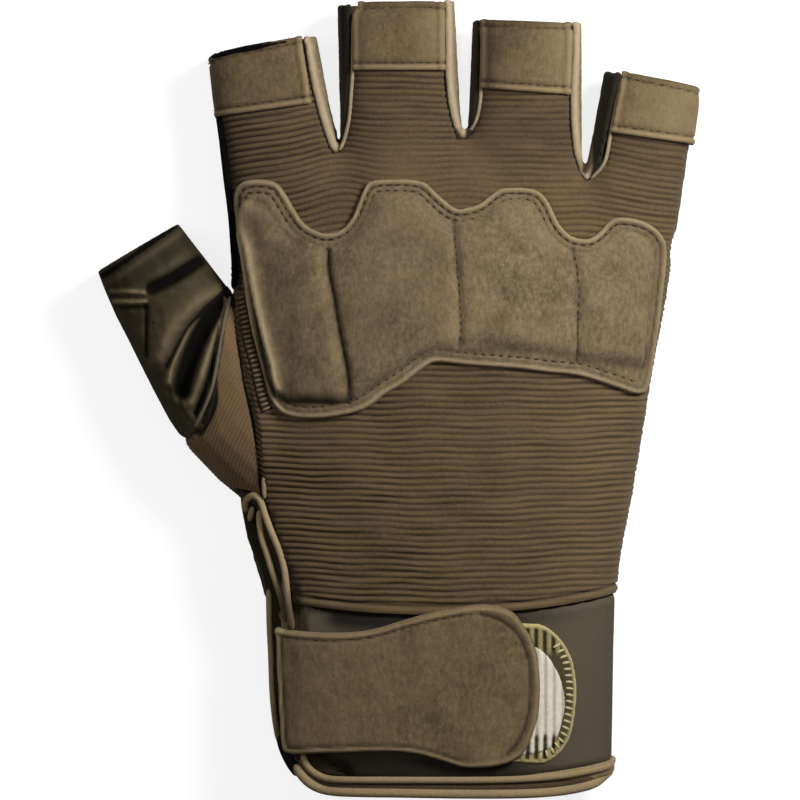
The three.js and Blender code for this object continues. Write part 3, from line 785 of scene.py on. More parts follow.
def knit_material(name, dark, light, has_flat, deepest=0.22):
    """Ribbed stretch knit: painted shade in the grooves, paler on the crests with wear and painted light,
    with fine loops.
    """
    material, tree, shader = finish_material(name, 0.92)
    fibre = placed_group(tree, FIBRE, object_place(tree), Fleck_Size=0.7, Patch_Size=14, Stretch=1.0)
    tone = maths(tree, "MULTIPLY_ADD", fibre["Shade"], 0.6, maths(tree, "MULTIPLY", fibre["Patch"], 0.4))
    base = blend(tree, tone, dark, light)
    shadow = times(dark, deepest)
    grooved = painted_wear_light_and_shade(tree, base, times(light, 1.3), 0.6, shadow, 0.94)
    height = fibre["Height"]
    if has_flat:
        loops = placed_group(tree, KNIT_LOOPS, flat_place(tree))
        # painted shade in the dips between the loops
        grooved = blend(tree, 0.35, grooved, blend(tree, loops["Shade"], shadow, grooved))
        height = maths(tree, "MULTIPLY_ADD", loops["Height"], 1.4, height)
    join_up(tree, shader, grooved, height, 0.55, 0.1, 0.25)
    soft_sheen(shader, 0.12, 0.5, (0.8, 0.7, 0.55, 1))
    return material


knit = knit_material("ribbed_knit", colour(0.056, 0.036, 0.017), colour(0.128, 0.087, 0.042), True)
sew(ribbed_back, "ribbed_knit", knit, "back_panel")

# Suede finger bands
# A band of tan microfibre suede is sewn over the end of each finger. Its lower edge is folded under
# and stitched down, its upper edge is stitched just inside the open end.
BAND_THICK = 0.85
BAND_CELL = 0.5
LOW_STITCH, TOP_STITCH = 1.65, 1.35  # how far the stitches are from the band's lower and upper edges
BANDS = {
    "index_tab": [(-38.7, 62.6), (-19.9, 65.2), (-21.9, 79.6), (-41.7, 75.5)],
    "middle_tab": [(-9.9, 72.6), (9.5, 72.6), (9.4, 87.1), (-10.1, 86.8)],
    "ring_tab": [(18.2, 68.6), (37.1, 67.2), (37.5, 82.4), (18.4, 83.2)],
    "little_tab": [(46.7, 58.8), (64.1, 56.4), (66.3, 68.5), (49.0, 71.8)],
}


def suede_material(
    name, dark, light, fleck=0.9, nap_depth=0.36, gold_depth=0.18, deepest=0.14, palest=1.65,
):
    """Brushed microfibre suede: short nap in flecks that lie this way and that, paler at worn edges and
    where light is painted, deep where shade is painted.
    """
    material, tree, shader = finish_material(name, 0.95)
    fibre = placed_group(tree, FIBRE, object_place(tree), Fleck_Size=fleck, Patch_Size=6.5, Stretch=1.9)
    tone = maths(tree, "MULTIPLY_ADD", fibre["Shade"], 0.6, maths(tree, "MULTIPLY", fibre["Patch"], 0.4))
    base = blend(tree, stretched(tree, tone, 0.1, 0.9), dark, light)
    nap = placed_group(tree, FIBRE, object_place(tree), Fleck_Size=0.5, Patch_Size=1.15, Stretch=1.4)
    base = blend(tree, maths(tree, "MULTIPLY", nap["Shade"], nap_depth), base, times(dark, 0.5))
    speck = maths(tree, "MULTIPLY", stretched(tree, nap["Patch"], 0.55, 1.0), gold_depth)
    base = blend(tree, speck, base, times(light, (1.6, 1.52, 1.25)))
    hue = placed_group(tree, FIBRE, object_place(tree), Fleck_Size=4.0, Patch_Size=17, Stretch=0.7)
    base = blend(tree, maths(tree, "MULTIPLY", hue["Patch"], 0.35), base, times(light, (1.05, 0.93, 0.92)))
    grooved = painted_wear_light_and_shade(tree, base, times(light, palest), 0.82, times(dark, deepest), 0.96)
    join_up(tree, shader, grooved, fibre["Height"], 0.8, 0.2, 0.2)
    soft_sheen(shader, 0.15, 0.45, (0.85, 0.75, 0.58, 1))
    return material


# a darker copy of the tan suede: painted shade, for the bands get less light
shaded_band_suede = suede_material("shaded_band_suede", colour(0.062, 0.044, 0.022), colour(0.165, 0.123, 0.065))


def dense(corners, spacing=1.0, closed=True):
    """Straight-sided outline with points along its sides."""
    ring = [tuple(c) for c in corners] + ([tuple(corners[0])] if closed else [])
    return np.vstack([
        even_points(np.array([a, b], float), spacing)[:-1] for a, b in zip(ring[:-1], ring[1:])
    ])


thread_work = {}


def thread_row(group, line, pitch, length, lift, thick=0.17, turn=0):
    """Small thread stitches along a line, each one a rounded grain half sunk in the cloth."""
    target = thread_work.setdefault(group, bmesh.new())
    line = even_points(np.asarray(line, float), pitch)
    middles = (line[:-1] + line[1:]) / 2
    heads = line[1:] - line[:-1]
    lifts = np.full(len(middles), lift)
    places, outs = on_form(middles[:, 0], middles[:, 1], lifts)
    ahead, _ = on_form(middles[:, 0] + heads[:, 0] * 0.3, middles[:, 1] + heads[:, 1] * 0.3, lifts)
    for place, front, out in zip(places, ahead, outs):
        up = Vector(out)
        along = (Vector(front) - Vector(place)).normalized()
        along = Matrix.Rotation(math.radians(turn), 3, up) @ along
        side = up.cross(along).normalized()
        turned = Matrix((along, side, side.cross(along) * -1)).transposed().to_4x4()
        size = Matrix.Diagonal((length / 2 * MM, thick * MM, thick * 0.9 * MM, 1))
        bmesh.ops.create_uvsphere(
            target, u_segments=6, v_segments=5, radius=1, matrix=Matrix.Translation(place) @ turned @ size,
        )


# the index and little fingers' bands go on round the side as far as the side seam
for band, seen_corners in BANDS.items():
    corners = [tuple(c) for c in from_picture(seen_corners)]
    low_left, low_right, top_right, top_left = corners
    inner_sides = [[low_left, top_left], [low_right, top_right]]
    if band == "index_tab":
        low_end = side_across(61, -1)
        top_end = side_across(74, -1)
        outer_low = (low_end, low_left[1] - 0.14 * (low_left[0] - low_end))
        outer_top = (top_end, top_left[1] - 0.2 * (top_left[0] - top_end))
        corners = [low_left, low_right, top_right, top_left, outer_top, outer_low]
        inner_sides = inner_sides[1:]
        low_edge = [outer_low, low_left, low_right]
        top_edge = [outer_top, top_left, top_right]
    elif band == "little_tab":
        low_end = side_across(56, 1)
        top_end = side_across(67, 1)
        outer_low = (low_end, low_right[1] - 0.14 * (low_end - low_right[0]))
        outer_top = (top_end, top_right[1] - 0.19 * (top_end - top_right[0]))
        corners = [low_left, low_right, outer_low, outer_top, top_right, top_left]
        inner_sides = inner_sides[:1]
        low_edge = [low_left, low_right, outer_low]
        top_edge = [top_left, top_right, outer_top]
    else:
        low_edge, top_edge = [low_left, low_right], [top_left, top_right]
    ring = dense(corners)
    middle = (low_left[0] + low_right[0]) / 2
    # how strongly a band is painted with shade on its left half and with light on its right half
    shaded = {"middle_tab": 0.6, "ring_tab": 1}.get(band, 0)
    ridge_edge = [low_right, top_right] if band == "index_tab" else [low_left, top_left]

    def band_shape(u, v):
        rim = distance_to(u, v, ring, closed=True)
        low, top = distance_to(u, v, low_edge), distance_to(u, v, top_edge)
        side = np.min([distance_to(u, v, line) for line in inner_sides], axis=0)
        outer = eased(np.abs(u - middle), 10.5, 13.5)
        over = 0.25 + BAND_THICK * (1 - 0.45 * outer) * rounded(rim + 0.16, 0.5)
        over += (0.32 * bump(low, 0.7, 0.45) - 0.42 * bump(low, LOW_STITCH, 0.32)) * (1 - 0.6 * outer)
        over += 0.12 * bump(top, 0.6, 0.5) - 0.3 * bump(top, TOP_STITCH, 0.3)
        over += 0.22 * bump(side, 0.8, 0.5) - 0.15 * bump(side, 1.7, 0.4)
        over += 0.15 * uneven(u, v, 5.5, 7.7)
        # painted light on the folded lower edge, the side ridges, the little finger's band and a shaded
        # band's right half; painted shade in the stitch lines, the side grooves, towards the index side, on
        # a shaded band's left half and along the open end
        wear_and_painted_light = 0.8 * bump(low, 0.7, 0.55) + 0.5 * bump(side, 0.75, 0.6)
        wear_and_painted_light += 0.42 * eased(u, 46, 60) + 0.1 * bump(np.abs(u - middle), 10, 3)
        ridge = bump(distance_to(u, v, ridge_edge), 0.3, 0.42)
        wear_and_painted_light += 0.9 * ridge
        from_left = (u - middle) * shaded
        wear_and_painted_light += 0.4 * eased(from_left, 0, 9)
        painted_shade = 0.6 * bump(low, LOW_STITCH, 0.32) + 0.5 * bump(top, TOP_STITCH, 0.3)
        painted_shade += 0.35 * bump(side, 1.5, 0.4)
        painted_shade += 0.05 * eased(u, -18, -24) + 0.5 * shaded * eased(from_left, -2, -9) * (1 - ridge)
        painted_shade = np.maximum(painted_shade, 0.9 * bump(top, 0.0, 0.4))
        return v, np.full(u.shape, 0.1), over, wear_and_painted_light, painted_shade

    columns = marks(ring[:, 0].min(), ring[:, 0].max(), BAND_CELL)
    rows = marks(ring[:, 1].min(), ring[:, 1].max(), BAND_CELL)
    piece = draped(band.replace("tab", "band"), ring, rows, columns, band_shape)
    sew(piece, "suede", shaded_band_suede, band)
    for edge, inset in ((low_edge, LOW_STITCH), (top_edge, -TOP_STITCH)):
        row = np.array(edge) + np.array([0, inset])
        row[0, 0] += 0.5
        row[-1, 0] -= 0.5
        stitched = np.vstack([dense(row, closed=False), row[-1:]])
        thread_row("band_stitches", stitched, 1.8, 1.1, BAND_THICK - 0.02)

# Knuckle guard
# One suede shell over foam cells. Its scalloped rim is turned under and sewn down with two rows of
# stitches, and a crease is sewn through it between each two cells.
GUARD_CELL = 0.5
GUARD_BASE = 1.35
OUTER_ROW, INNER_ROW = 1.5, 2.75  # how far the two rows of stitches are from the rim
GUARD_RIM = from_picture([
    (-35.9, 42.1), (-35.9, 45.2), (-35.1, 47.5), (-32.8, 48.4), (-29.4, 48.4), (-26.8, 47.5),
    (-24.9, 44.9), (-23.1, 41.8), (-20.9, 38.7), (-18, 36.9), (-15.8, 36.4), (-12.9, 37.2),
    (-10.6, 39.8), (-8.9, 43.8), (-7.3, 47.2), (-5, 48.2), (-1.5, 48.4), (2.4, 48.3), (5.6, 47.5),
    (8.1, 45.2), (11, 42.7), (12.8, 41.8), (14.7, 42), (17.3, 42.8), (20, 44.9), (22.1, 46.2),
    (24.8, 46.5), (28.5, 46.4), (31.1, 45.2), (33, 42.5), (34.8, 38.8), (37, 36.2), (39.6, 35.2),
    (41.8, 35.4), (43.9, 37), (45.5, 38.8), (47.6, 40), (50.8, 40), (54, 39.1), (56.6, 37.2),
    (57.9, 34.6), (58.1, 30.9), (57.4, 24.5), (56.4, 16.5), (55.3, 8.6), (54.8, 5.3), (54, 2.7),
    (52.9, 1.6), (50.8, 1.4), (47.1, 2.7), (43.3, 4), (38.6, 5.3), (32.7, 5.9), (26.3, 6.7),
    (19.4, 7.2), (14.1, 7.6), (10.6, 8), (7, 8), (3.6, 5.7), (0.2, 3.1), (-3.3, 1.1), (-6.1, -1.1),
    (-8.9, -2.6), (-12.3, -3.4), (-16.9, -4.1), (-21.4, -4.1), (-24.9, -3.4), (-27.1, -1.7),
    (-28.8, 1.1), (-30, 5.1), (-31.7, 11.9), (-32.8, 17.6), (-33.7, 25), (-34.2, 29), (-35.4, 36.4),
], 1)
GUARD_FOAM = from_picture([
    (-34.2, 43.5), (-30, 43.8), (-27.7, 40.9), (-24.9, 37), (-21.4, 34.4), (-16.3, 33), (-12.9, 34.7),
    (-10.1, 37.5), (-6.7, 42.6), (-5, 44.4), (1.3, 44.7), (4.7, 43.8), (8.7, 39.7), (11.9, 38.4),
    (14.7, 39.1), (17.8, 40.4), (21, 42.5), (24.2, 43.3), (28.5, 43.1), (30.6, 40.4), (32.7, 37.2),
    (35.4, 34.1), (38, 32.5), (41.8, 32.5), (44.4, 34.1), (47.1, 36.5), (50.8, 36.7), (53.5, 35.9),
    (55, 33.5), (55.3, 27.1), (54.5, 19.2), (53.7, 12.3), (52.6, 7.5), (49.2, 7.5), (43.3, 8.3),
    (38.6, 8.8), (32.7, 10.1), (24.8, 10.9), (14.1, 11.2), (7, 10.2), (2.4, 8.5), (-2.1, 5.7),
    (-6.7, 2.3), (-10.1, 0), (-11.8, -0.9), (-18.6, -0.9), (-24.3, -0.6), (-26.8, 1.7), (-28.1, 7.4),
    (-30.1, 15.4), (-31.8, 23.3), (-33.4, 31.8), (-34.3, 38.1),
], 2)
GUARD_CREASES = [
    from_picture([(-15.5, 33), (-15.2, 27.9), (-14.1, 22.2), (-13.2, 16.5), (-12.1, 10.8), (-11.2, 5.7),
                  (-10.6, -0.6)], 3),
    from_picture([(11.8, 38.7), (12.3, 32.5), (13, 24.5), (13.4, 16.5), (13.3, 11)], 3),
    from_picture([(37.9, 32.8), (38.6, 28.2), (39, 23.4), (38.8, 16.5), (38.6, 8.6)], 3),
]
guard_ring = smooth_line(GUARD_RIM, closed=True, spacing=0.7)
guard_foam = smooth_line(GUARD_FOAM, closed=True, spacing=0.7)
guard_creases = [smooth_line(crease, spacing=0.7) for crease in GUARD_CREASES]
# the first cell's left side stands up as a ridge, with a groove beside it
LEFT_RIDGE = smooth_line(from_picture([
    (-33.1, 43.0), (-33.4, 39), (-32.2, 32), (-30.5, 22.2), (-28.5, 12.8), (-27.2, 7.7), (-26.7, 4.4),
    (-26.2, 2.4),
], 3))
LEFT_GROOVE = smooth_line(from_picture([
    (-33.5, 33), (-31.9, 22.2), (-30.5, 12.8), (-29.5, 7.7), (-28.8, 4.4), (-27.4, 1.0),
], 3))
PAD_CELL = 0.9
PAD_SCALE = 10  # the sheet is blown up at ten times its real size, where the solver is steady
PAD_FRAMES = 20
PAD_CAP = 1.5  # the foam lets the shell swell no further than this
PAD_ACROSS = np.arange(-38, 60.01, PAD_CELL)
PAD_ALONG = np.arange(-7, 51.01, PAD_CELL)


def foam_swell():
    """Heights to which a sheet swells over the foam cells, from a cloth simulation under pressure.
    The sheet is held outside the cells and along the creases between them."""
    grid_u, grid_v = np.meshgrid(PAD_ACROSS, PAD_ALONG)
    flat_u, flat_v = grid_u.ravel(), grid_v.ravel()
    held = ~inside(flat_u, flat_v, guard_foam)
    for crease in guard_creases:
        held |= distance_to(flat_u, flat_v, crease) < 0.6 * PAD_CELL
    count = len(PAD_ACROSS)
    quads = [
        (k, k + 1, k + count + 1, k + count)
        for row in range(len(PAD_ALONG) - 1) for k in range(row * count, (row + 1) * count - 1)
    ]
    spots = np.stack([flat_u, flat_v, 0 * flat_u], axis=1) * MM * PAD_SCALE
    mesh = bpy.data.meshes.new("pad_sheet")
    mesh.from_pydata(spots.tolist(), [], quads)
    sheet = placed("pad_sheet", mesh)
    sheet.vertex_groups.new(name="held").add(np.flatnonzero(held).tolist(), 1.0, "REPLACE")
    cloth = sheet.modifiers.new("cloth", "CLOTH")
    cloth.settings.vertex_group_mass = "held"
    cloth.settings.quality = 6
    cloth.settings.mass = 0.3
    cloth.settings.shrink_min = -0.02
    cloth.settings.use_pressure = True
    cloth.settings.uniform_pressure_force = 4
    cloth.settings.effector_weights.gravity = 0
    cloth.collision_settings.use_collision = False
    for number in range(1, PAD_FRAMES + 1):
        scene.frame_set(number)
    blown = sheet.evaluated_get(bpy.context.evaluated_depsgraph_get())
    height = points_of(blown.data)[:, 2] / MM / PAD_SCALE
    bpy.data.objects.remove(sheet)
    scene.frame_set(1)
    height = PAD_CAP * (1 - np.exp(-np.maximum(height, 0) / PAD_CAP))
    return evened(height.reshape(grid_u.shape), 1)


pad_swell = foam_swell()


def guard_shape(u, v):
    rim = distance_to(u, v, guard_ring, closed=True)
    within = inside(u, v, guard_foam)
    swell = read_grid(pad_swell, PAD_ACROSS, PAD_ALONG, PAD_CELL, u, v)
    depth = np.where(within, distance_to(u, v, guard_foam, closed=True), 0)
    first, second, third = [distance_to(u, v, crease) for crease in guard_creases]
    in_first = u < np.interp(v, guard_creases[0][::-1, 1], guard_creases[0][::-1, 0])
    first_cell = in_first * within
    ridge = distance_to(u, v, LEFT_RIDGE)
    groove_wide = 0.32 + 0.4 * eased(v, 28, 12)
    groove = bump(distance_to(u, v, LEFT_GROOVE), 0, groove_wide)
    lower = eased(v, 14, 8)
    left = eased(u, -24, -27) * eased(v, 44, 38)

    # the rim: a turned edge with the rows of stitches pulled into it, painted light on the turned edge and
    # painted shade in the rows of stitches
    over = 0.3 + (GUARD_BASE - 0.3) * rounded(rim, 0.6)
    over += 0.30 * bump(rim, 0.65, 0.42) - 0.40 * bump(rim, OUTER_ROW, 0.32) * (1 - 0.5 * lower)
    over += 0.16 * bump(rim, 2.1, 0.35) * (1 - left) - 0.26 * bump(rim, INNER_ROW, 0.3) * (1 - left)
    wear_and_painted_light = 0.46 * bump(rim, 0.6, 0.5)
    outer_row_shade = 0.72 * bump(rim, OUTER_ROW, 0.34) * (1 - 0.5 * lower)
    painted_shade = (outer_row_shade + 0.35 * bump(rim, INNER_ROW, 0.3)) * (1 - left)

    # the cells: steep at their lower ends and along the ridge, sewn down along the creases
    bottom = distance_to(u, v, guard_foam[(guard_foam[:, 1] < 11.5) & (guard_foam[:, 0] > -26)])
    steep = bump(bottom, 0, 3.5) * np.where(in_first, 1, 0.55)
    steep = np.maximum(steep, in_first * bump(ridge, 0, 2.5))
    rise = np.where(in_first, 1.3, 1.1) * eased(depth, 0, 3.9 - 3.1 * steep) + swell
    side = np.where(in_first, 0.8, 0.7)
    rise -= np.where(in_first, 1.1, 0.8) * bump(first, 0, side) * within
    rise += 0.15 * bump(first, 2.4, 1.2) * first_cell
    rise -= (0.75 * bump(second, 0, 0.7) + 0.7 * bump(third, 0, 0.7)) * within
    ridge_high = 0.45 * bump(ridge, 0, 1.0) * eased(v, 43, 36)
    rise += (ridge_high - 0.35 * eased(ridge, 1.2, 2.8)) * first_cell
    rise -= 0.55 * groove
    over = over + rise

    # painted light on the ridge and on the rim beside the first cell; painted shade in the creases, in the
    # groove, at the cells' lower ends, where the first cell is shaded and over the second cell
    ridge_light = 0.7 + 0.8 * eased(v, 42, 31)
    wear_and_painted_light += ridge_light * bump(ridge, 0, 1.0) * first_cell + 0.08 * bump(first, 1.8, 0.9) * first_cell
    wear_and_painted_light += 0.45 * bump(rim, 0.8, 0.7) * left
    painted_shade += 0.95 * bump(first, 0, 0.42) * within + 0.75 * bump(second, 0, 0.3) + 0.7 * bump(third, 0, 0.28)
    painted_shade += np.where(in_first, 0.3, 0.35) * bump(bottom, 0.1, 0.5) + 1.1 * groove
    painted_shade += 0.6 * bump(bottom, 1.0, 1.2) * first_cell
    mottled = 0.3 + 0.2 * uneven(u, v, 2.6, 4.4)
    painted_shade += mottled * eased(ridge, 1.0, 2.4) * first_cell * (1 - 0.7 * bump(first, 2.6, 1.5))
    painted_shade += 0.19 * eased(depth, 1, 4) * ~in_first * eased(u, 12, 9)
    over += 0.14 * uneven(u, v, 6, 2.2) + 0.07 * uneven(u, v, 1.7, 5.5)
    return v, np.full(u.shape, 0.1), over, wear_and_painted_light, painted_shade


suede = suede_material("tan_suede", colour(0.082, 0.060, 0.031), colour(0.215, 0.167, 0.096), palest=2.2)
rows, columns = marks(-6, 51, GUARD_CELL), marks(-38, 60, GUARD_CELL)
knuckle_guard = draped("knuckle_guard", guard_ring, rows, columns, guard_shape)
sew(knuckle_guard, "suede", suede, "knuckle_pad")


def inner_line(ring, distance):
    """The outline moved inwards, without the points that would cross over."""
    way = np.roll(ring, -1, axis=0) - np.roll(ring, 1, axis=0)
    way /= np.linalg.norm(way, axis=1, keepdims=True)
    inward = np.stack([-way[:, 1], way[:, 0]], axis=1)
    area = np.sum(ring[:, 0] * np.roll(ring[:, 1], -1) - np.roll(ring[:, 0], -1) * ring[:, 1])
    moved = ring + inward * distance * (1 if area > 0 else -1)
    keep = distance_to(moved[:, 0], moved[:, 1], ring, closed=True) > 0.93 * distance
    return moved[keep]


STITCH_ROWS = [
    {"inset": OUTER_ROW, "from_y": 13, "to_x": 56.5},
    {"inset": INNER_ROW, "from_y": 38, "to_x": 53},
    {"inset": 2.6, "from_y": -9, "to_y": 13, "to_x": 56},
]
for row in STITCH_ROWS:
    line = inner_line(guard_ring, row["inset"])
    kept = (line[:, 1] > row["from_y"]) & (line[:, 1] < row.get("to_y", 60)) & (line[:, 0] < row["to_x"])
    kept &= (line[:, 0] > -30) | (line[:, 1] > 38)
    kept &= (line[:, 0] < 51) | (line[:, 1] > 34)
    breaks = np.flatnonzero(np.linalg.norm(np.diff(line, axis=0), axis=1) > 3) + 1
    edges = np.flatnonzero(np.diff(kept.astype(int))) + 1
    for run in np.split(np.arange(len(line)), np.union1d(breaks, edges)):
        if len(run) > 4 and kept[run[0]]:
            thread_row("guard_stitches", line[run], 1.9, 1.25, GUARD_BASE - 0.14, 0.27)
for crease in guard_creases[1:]:
    thread_row("guard_stitches", crease[2:-2], 1.6, 1.0, GUARD_BASE + 0.6)

# Side strips between the fingers
# Each strip of suede runs down one finger, round the crotch and up the next, with a raised welt
# along its seam to the back.
STRIP_VOXEL = 0.5 * MM
STRIP_RISE = {"index_middle": 1.6, "middle_ring": 2.5, "ring_little": 0.9}
# lighter than the tan suede, partly wear and partly painted light, with its shade painted almost black on
# the sides that face away from the lamp
strip_suede = suede_material(
    "strip_suede", colour(0.11, 0.082, 0.047), colour(0.275, 0.218, 0.142), 0.7,
    nap_depth=0.75, gold_depth=0.45, deepest=0.02,
)


def set_points(piece, co):
    """Moves the points of a piece to new places, given in millimetres."""
    piece.data.vertices.foreach_set("co", (co * MM).astype(np.float32).ravel())


seam_lines = []
for seam_name, crotch_rise in STRIP_RISE.items():
    node_name = "fourchette_" + seam_name
    strip = softened(node_name.replace("fourchette", "side_strip"), [node_name], STRIP_VOXEL, 6)
    co = points_of(strip.data) / MM
    normals = points_of(strip.data, "normal")
    x, y, z = co.T
    crotch = y.min()

    # the crotch is raised to where the photo shows it, and the seam stands up as a welt
    y += crotch_rise * (1 - eased(y, crotch + 4, crotch + 16)) * eased(z, 4, 9)
    seam = smooth_line(FINGER_SEAMS[seam_name])
    away = distance_to(x, y, seam)
    covered = inside(x, y, BACK_EDGE)
    high = eased(z, 8, 11) * eased(normals[:, 2], -0.1, 0.3)
    lift = 0.45 * bump(away, 1.1, 0.6) * high * ~covered
    lift += 0.07 * uneven(x, y, 2.2, 4.4) + 0.06 * uneven(x, y, 0.8, 5.9)
    co += normals * lift[:, None]
    z -= 1.9 * eased(np.where(covered, away, -away), -0.3, 0.5) * eased(z, 8, 11)  # down under the back
    set_points(strip, co)

    # painted shade: the lamp is beyond the little finger, so the side of the gap that faces away from it is
    # painted dark, as is the seam line, and the welt is painted light
    tip = int(np.argmin(seam[:, 1]))
    left_run, right_run = seam[:tip + 1][::-1], seam[tip:]
    between = 0.5 * (
        np.interp(y, left_run[:, 1], left_run[:, 0])
        + np.interp(y, right_run[:, 1], right_run[:, 0])
    )
    unlit = eased(x - between, 0.2, 0.8) * eased(y, crotch + 1.5, crotch + 4)
    seam_dark = 0.9 * np.exp(-away / 0.35) * high
    mark_surface(strip, 0.9 * bump(away, 1.1, 0.9) * high, np.maximum(seam_dark, unlit))
    sew(strip, "suede", strip_suede, node_name)
    seam_lines.append((node_name.replace("fourchette", "seam_welt"), right_run[1:]))


def rolled(name, places, radius, taper=1.2, painted_shade=0, fade=None):
    """A rolled edge or cord through the given places in millimetres, thinner at its ends, with a little
    wear and painted light all over and an even painted shade of the given strength. fade gives the two
    places along the hand between which the painted shade deepens."""
    path = bpy.data.curves.new(name, "CURVE")
    path.dimensions = "3D"
    run = path.splines.new("POLY")
    run.points.add(len(places) - 1)
    steps = np.linalg.norm(np.diff(places, axis=0), axis=1)
    gone = np.concatenate([[0], np.cumsum(steps)])
    for point, place, way in zip(run.points, places, gone):
        point.co = (*(place * MM), 1)
        point.radius = 0.35 + 0.65 * math.sqrt(min(1, min(way, gone[-1] - way) / taper))
    path.bevel_depth = radius * MM
    path.bevel_resolution = 3
    path.use_fill_caps = True
    guide = placed(name, path)
    mesh = finished_mesh(guide)
    bpy.data.objects.remove(guide)
    cord = bmesh.new()
    cord.from_mesh(mesh)
    bmesh.ops.recalc_face_normals(cord, faces=cord.faces)
    cord.to_mesh(mesh)
    piece = placed(name, mesh)
    even = np.ones(len(mesh.vertices))
    if fade:
        painted_shade = 0.8 * eased(points_of(mesh)[:, 1] / MM, *fade)
    mark_surface(piece, 0.4 * even, painted_shade * even)
    return piece


def piping(name, line, radius, lift, taper=1.2):
    """A rolled edge or a cord sewn along a line on the form."""
    line = smooth_line(line, spacing=0.4)
    places, _ = on_form(line[:, 0], line[:, 1], np.full(len(line), lift))
    for _ in range(12):
        places[1:-1] = 0.25 * places[:-2] + 0.5 * places[1:-1] + 0.25 * places[2:]
    return rolled(name, places / MM, radius, taper)


for name, line in seam_lines:
    sew(piping(name, line, 0.42, 0.0), "suede", strip_suede)


# Leather palm
# Thin dark brown leather, cut with the undersides of the four fingers and sewn to the back and to the
# side strips. Its lower end lies over the cuff.
PALM_VOXEL = 0.9 * MM
PALM_TUCK = 0.9  # its edge beside the hem is drawn down this far along the hand


def grain_group():
    """Fine pebbles of leather over broad uneven dye."""
    group, start, end = surface_group("leather_grain", {"Pebble Size": 0.8}, ["Height", "Shade"])
    scaled = in_millimetres(group, start.outputs["Vector"])
    size = maths(group, "DIVIDE", 1.0, start.outputs["Pebble Size"])
    pebble = add(group, "TexVoronoi", {"Vector": scaled, "Scale": size}, feature="DISTANCE_TO_EDGE")
    soft = stretched(group, pebble.outputs[0], 0.0, 0.35)
    broad = noise_of(group, scaled, 0.22, 4.0, 0.5)
    group.links.new(maths(group, "MULTIPLY_ADD", broad, 0.6, soft), end.inputs["Height"])
    group.links.new(broad, end.inputs["Shade"])
    return group


GRAIN = grain_group()


def leather_material(name, dark, light, roughness):
    """Soft leather: pale on the folds with wear and painted highlights, black with painted shade and dull
    in the creases.
    """
    material, tree, shader = finish_material(name, roughness)
    grain = placed_group(tree, GRAIN, object_place(tree), Pebble_Size=0.75)
    base = blend(tree, grain["Shade"], dark, light)
    shaded = painted_wear_light_and_shade(tree, base, times(light, (4.2, 4.1, 4.7)), 0.8, times(dark, 0.04), 0.98)
    join_up(tree, shader, shaded, grain["Height"], 0.35, 0.1, 0.14)
    dull = add(tree, "MapRange", {"Value": attribute(tree, "painted_shade"), "To Min": roughness, "To Max": 1.0})
    tree.links.new(dull.outputs[0], shader.inputs["Roughness"])
    return material


leather = leather_material("dark_leather", colour(0.021, 0.016, 0.008), colour(0.056, 0.044, 0.022), 0.58)
palm = softened("leather_palm", ["palm_panel"], PALM_VOXEL, 5)
co = points_of(palm.data) / MM
x, y, z = co.T
y -= PALM_TUCK * eased(y - hem_line(x), 2.6, 0.8)
co[:, 2] = np.maximum(z, 0)
set_points(palm, co)
mark_surface(palm, np.zeros(len(co)), np.zeros(len(co)))
sew(palm, "leather", leather, "palm_panel")

# Leather thumb
# A sleeve of the palm's leather, closed round the thumb and sewn to the gusset with a welt. It has taken
# the folds of the bent thumb, and its open end is turned in and stitched.
THUMB_VOXEL = 0.42 * MM
THUMB_FOLDS = [  # how far each fold rises or sinks, how wide it is, and where it runs
    (-1.7, 1.25, [(-43.4, 31.2), (-46.9, 28.9), (-50.4, 26.6), (-54.6, 24.5)]),
    (1.2, 1.9, [(-38.3, 24.2), (-42, 23), (-45.6, 20.9), (-50.5, 15.6), (-53.3, 9.6)]),
    (-0.7, 0.6, [(-38.6, 23.6), (-43.1, 19.9), (-46.6, 16.2), (-48.8, 12.4), (-51.2, 7.4)]),
    (1.3, 0.65, [(-38.9, 23.6), (-43.0, 19.4), (-46.2, 15.8), (-48.1, 12.2), (-50.2, 7.6), (-50.9, 4.0)]),
    (-3.2, 1.8, [(-38.2, 22.4), (-41.4, 18.6), (-43.8, 14.6), (-45.6, 10.6), (-47.2, 5.8), (-47.9, 2.2)]),
    (0.7, 0.9, [(-39.0, 18.9), (-41.3, 13.4), (-42.8, 8.5), (-44.6, 3.7), (-46.2, -0.5)]),
    (-1.0, 0.6, [(-39.4, 16), (-41.2, 8.4), (-42.8, 2.6), (-44.9, -3.0)]),
    (0.45, 0.45, [(-63.6, 24.0), (-59.8, 23.9), (-56.3, 23.7)]),
    (-0.4, 0.35, [(-63.2, 22.8), (-59.6, 22.7), (-56.4, 22.7)]),
    (0.5, 0.45, [(-62.9, 21.8), (-59.4, 21.6), (-56.1, 21.7)]),
    (-0.6, 0.6, [(-62.4, 20.5), (-59.0, 20.3), (-56.2, 20.4)]),
    (-0.7, 0.5, [(-55.8, 20.6), (-55.9, 15.4), (-55.7, 9.6)]),
]
THUMB_RIM = from_picture([(-66.2, 26.8), (-61.5, 30.0), (-56.0, 33.9), (-49.2, 38.6)])
JUST_OUT = 0.4 * MM
FAR_OUT = 30 * MM  # nothing of the same piece is this near over its outer face


def outward_parts(piece):
    """Which points of a hollow piece are on its outer face, with all points and outward ways."""
    co = points_of(piece.data)
    normals = points_of(piece.data, "normal")
    tree = tree_of(piece.data)
    open_air = [
        tree.ray_cast(Vector(p + n * JUST_OUT), Vector(n), FAR_OUT)[0] is None for p, n in zip(co, normals)
    ]
    return co / MM, normals, np.array(open_air, float)


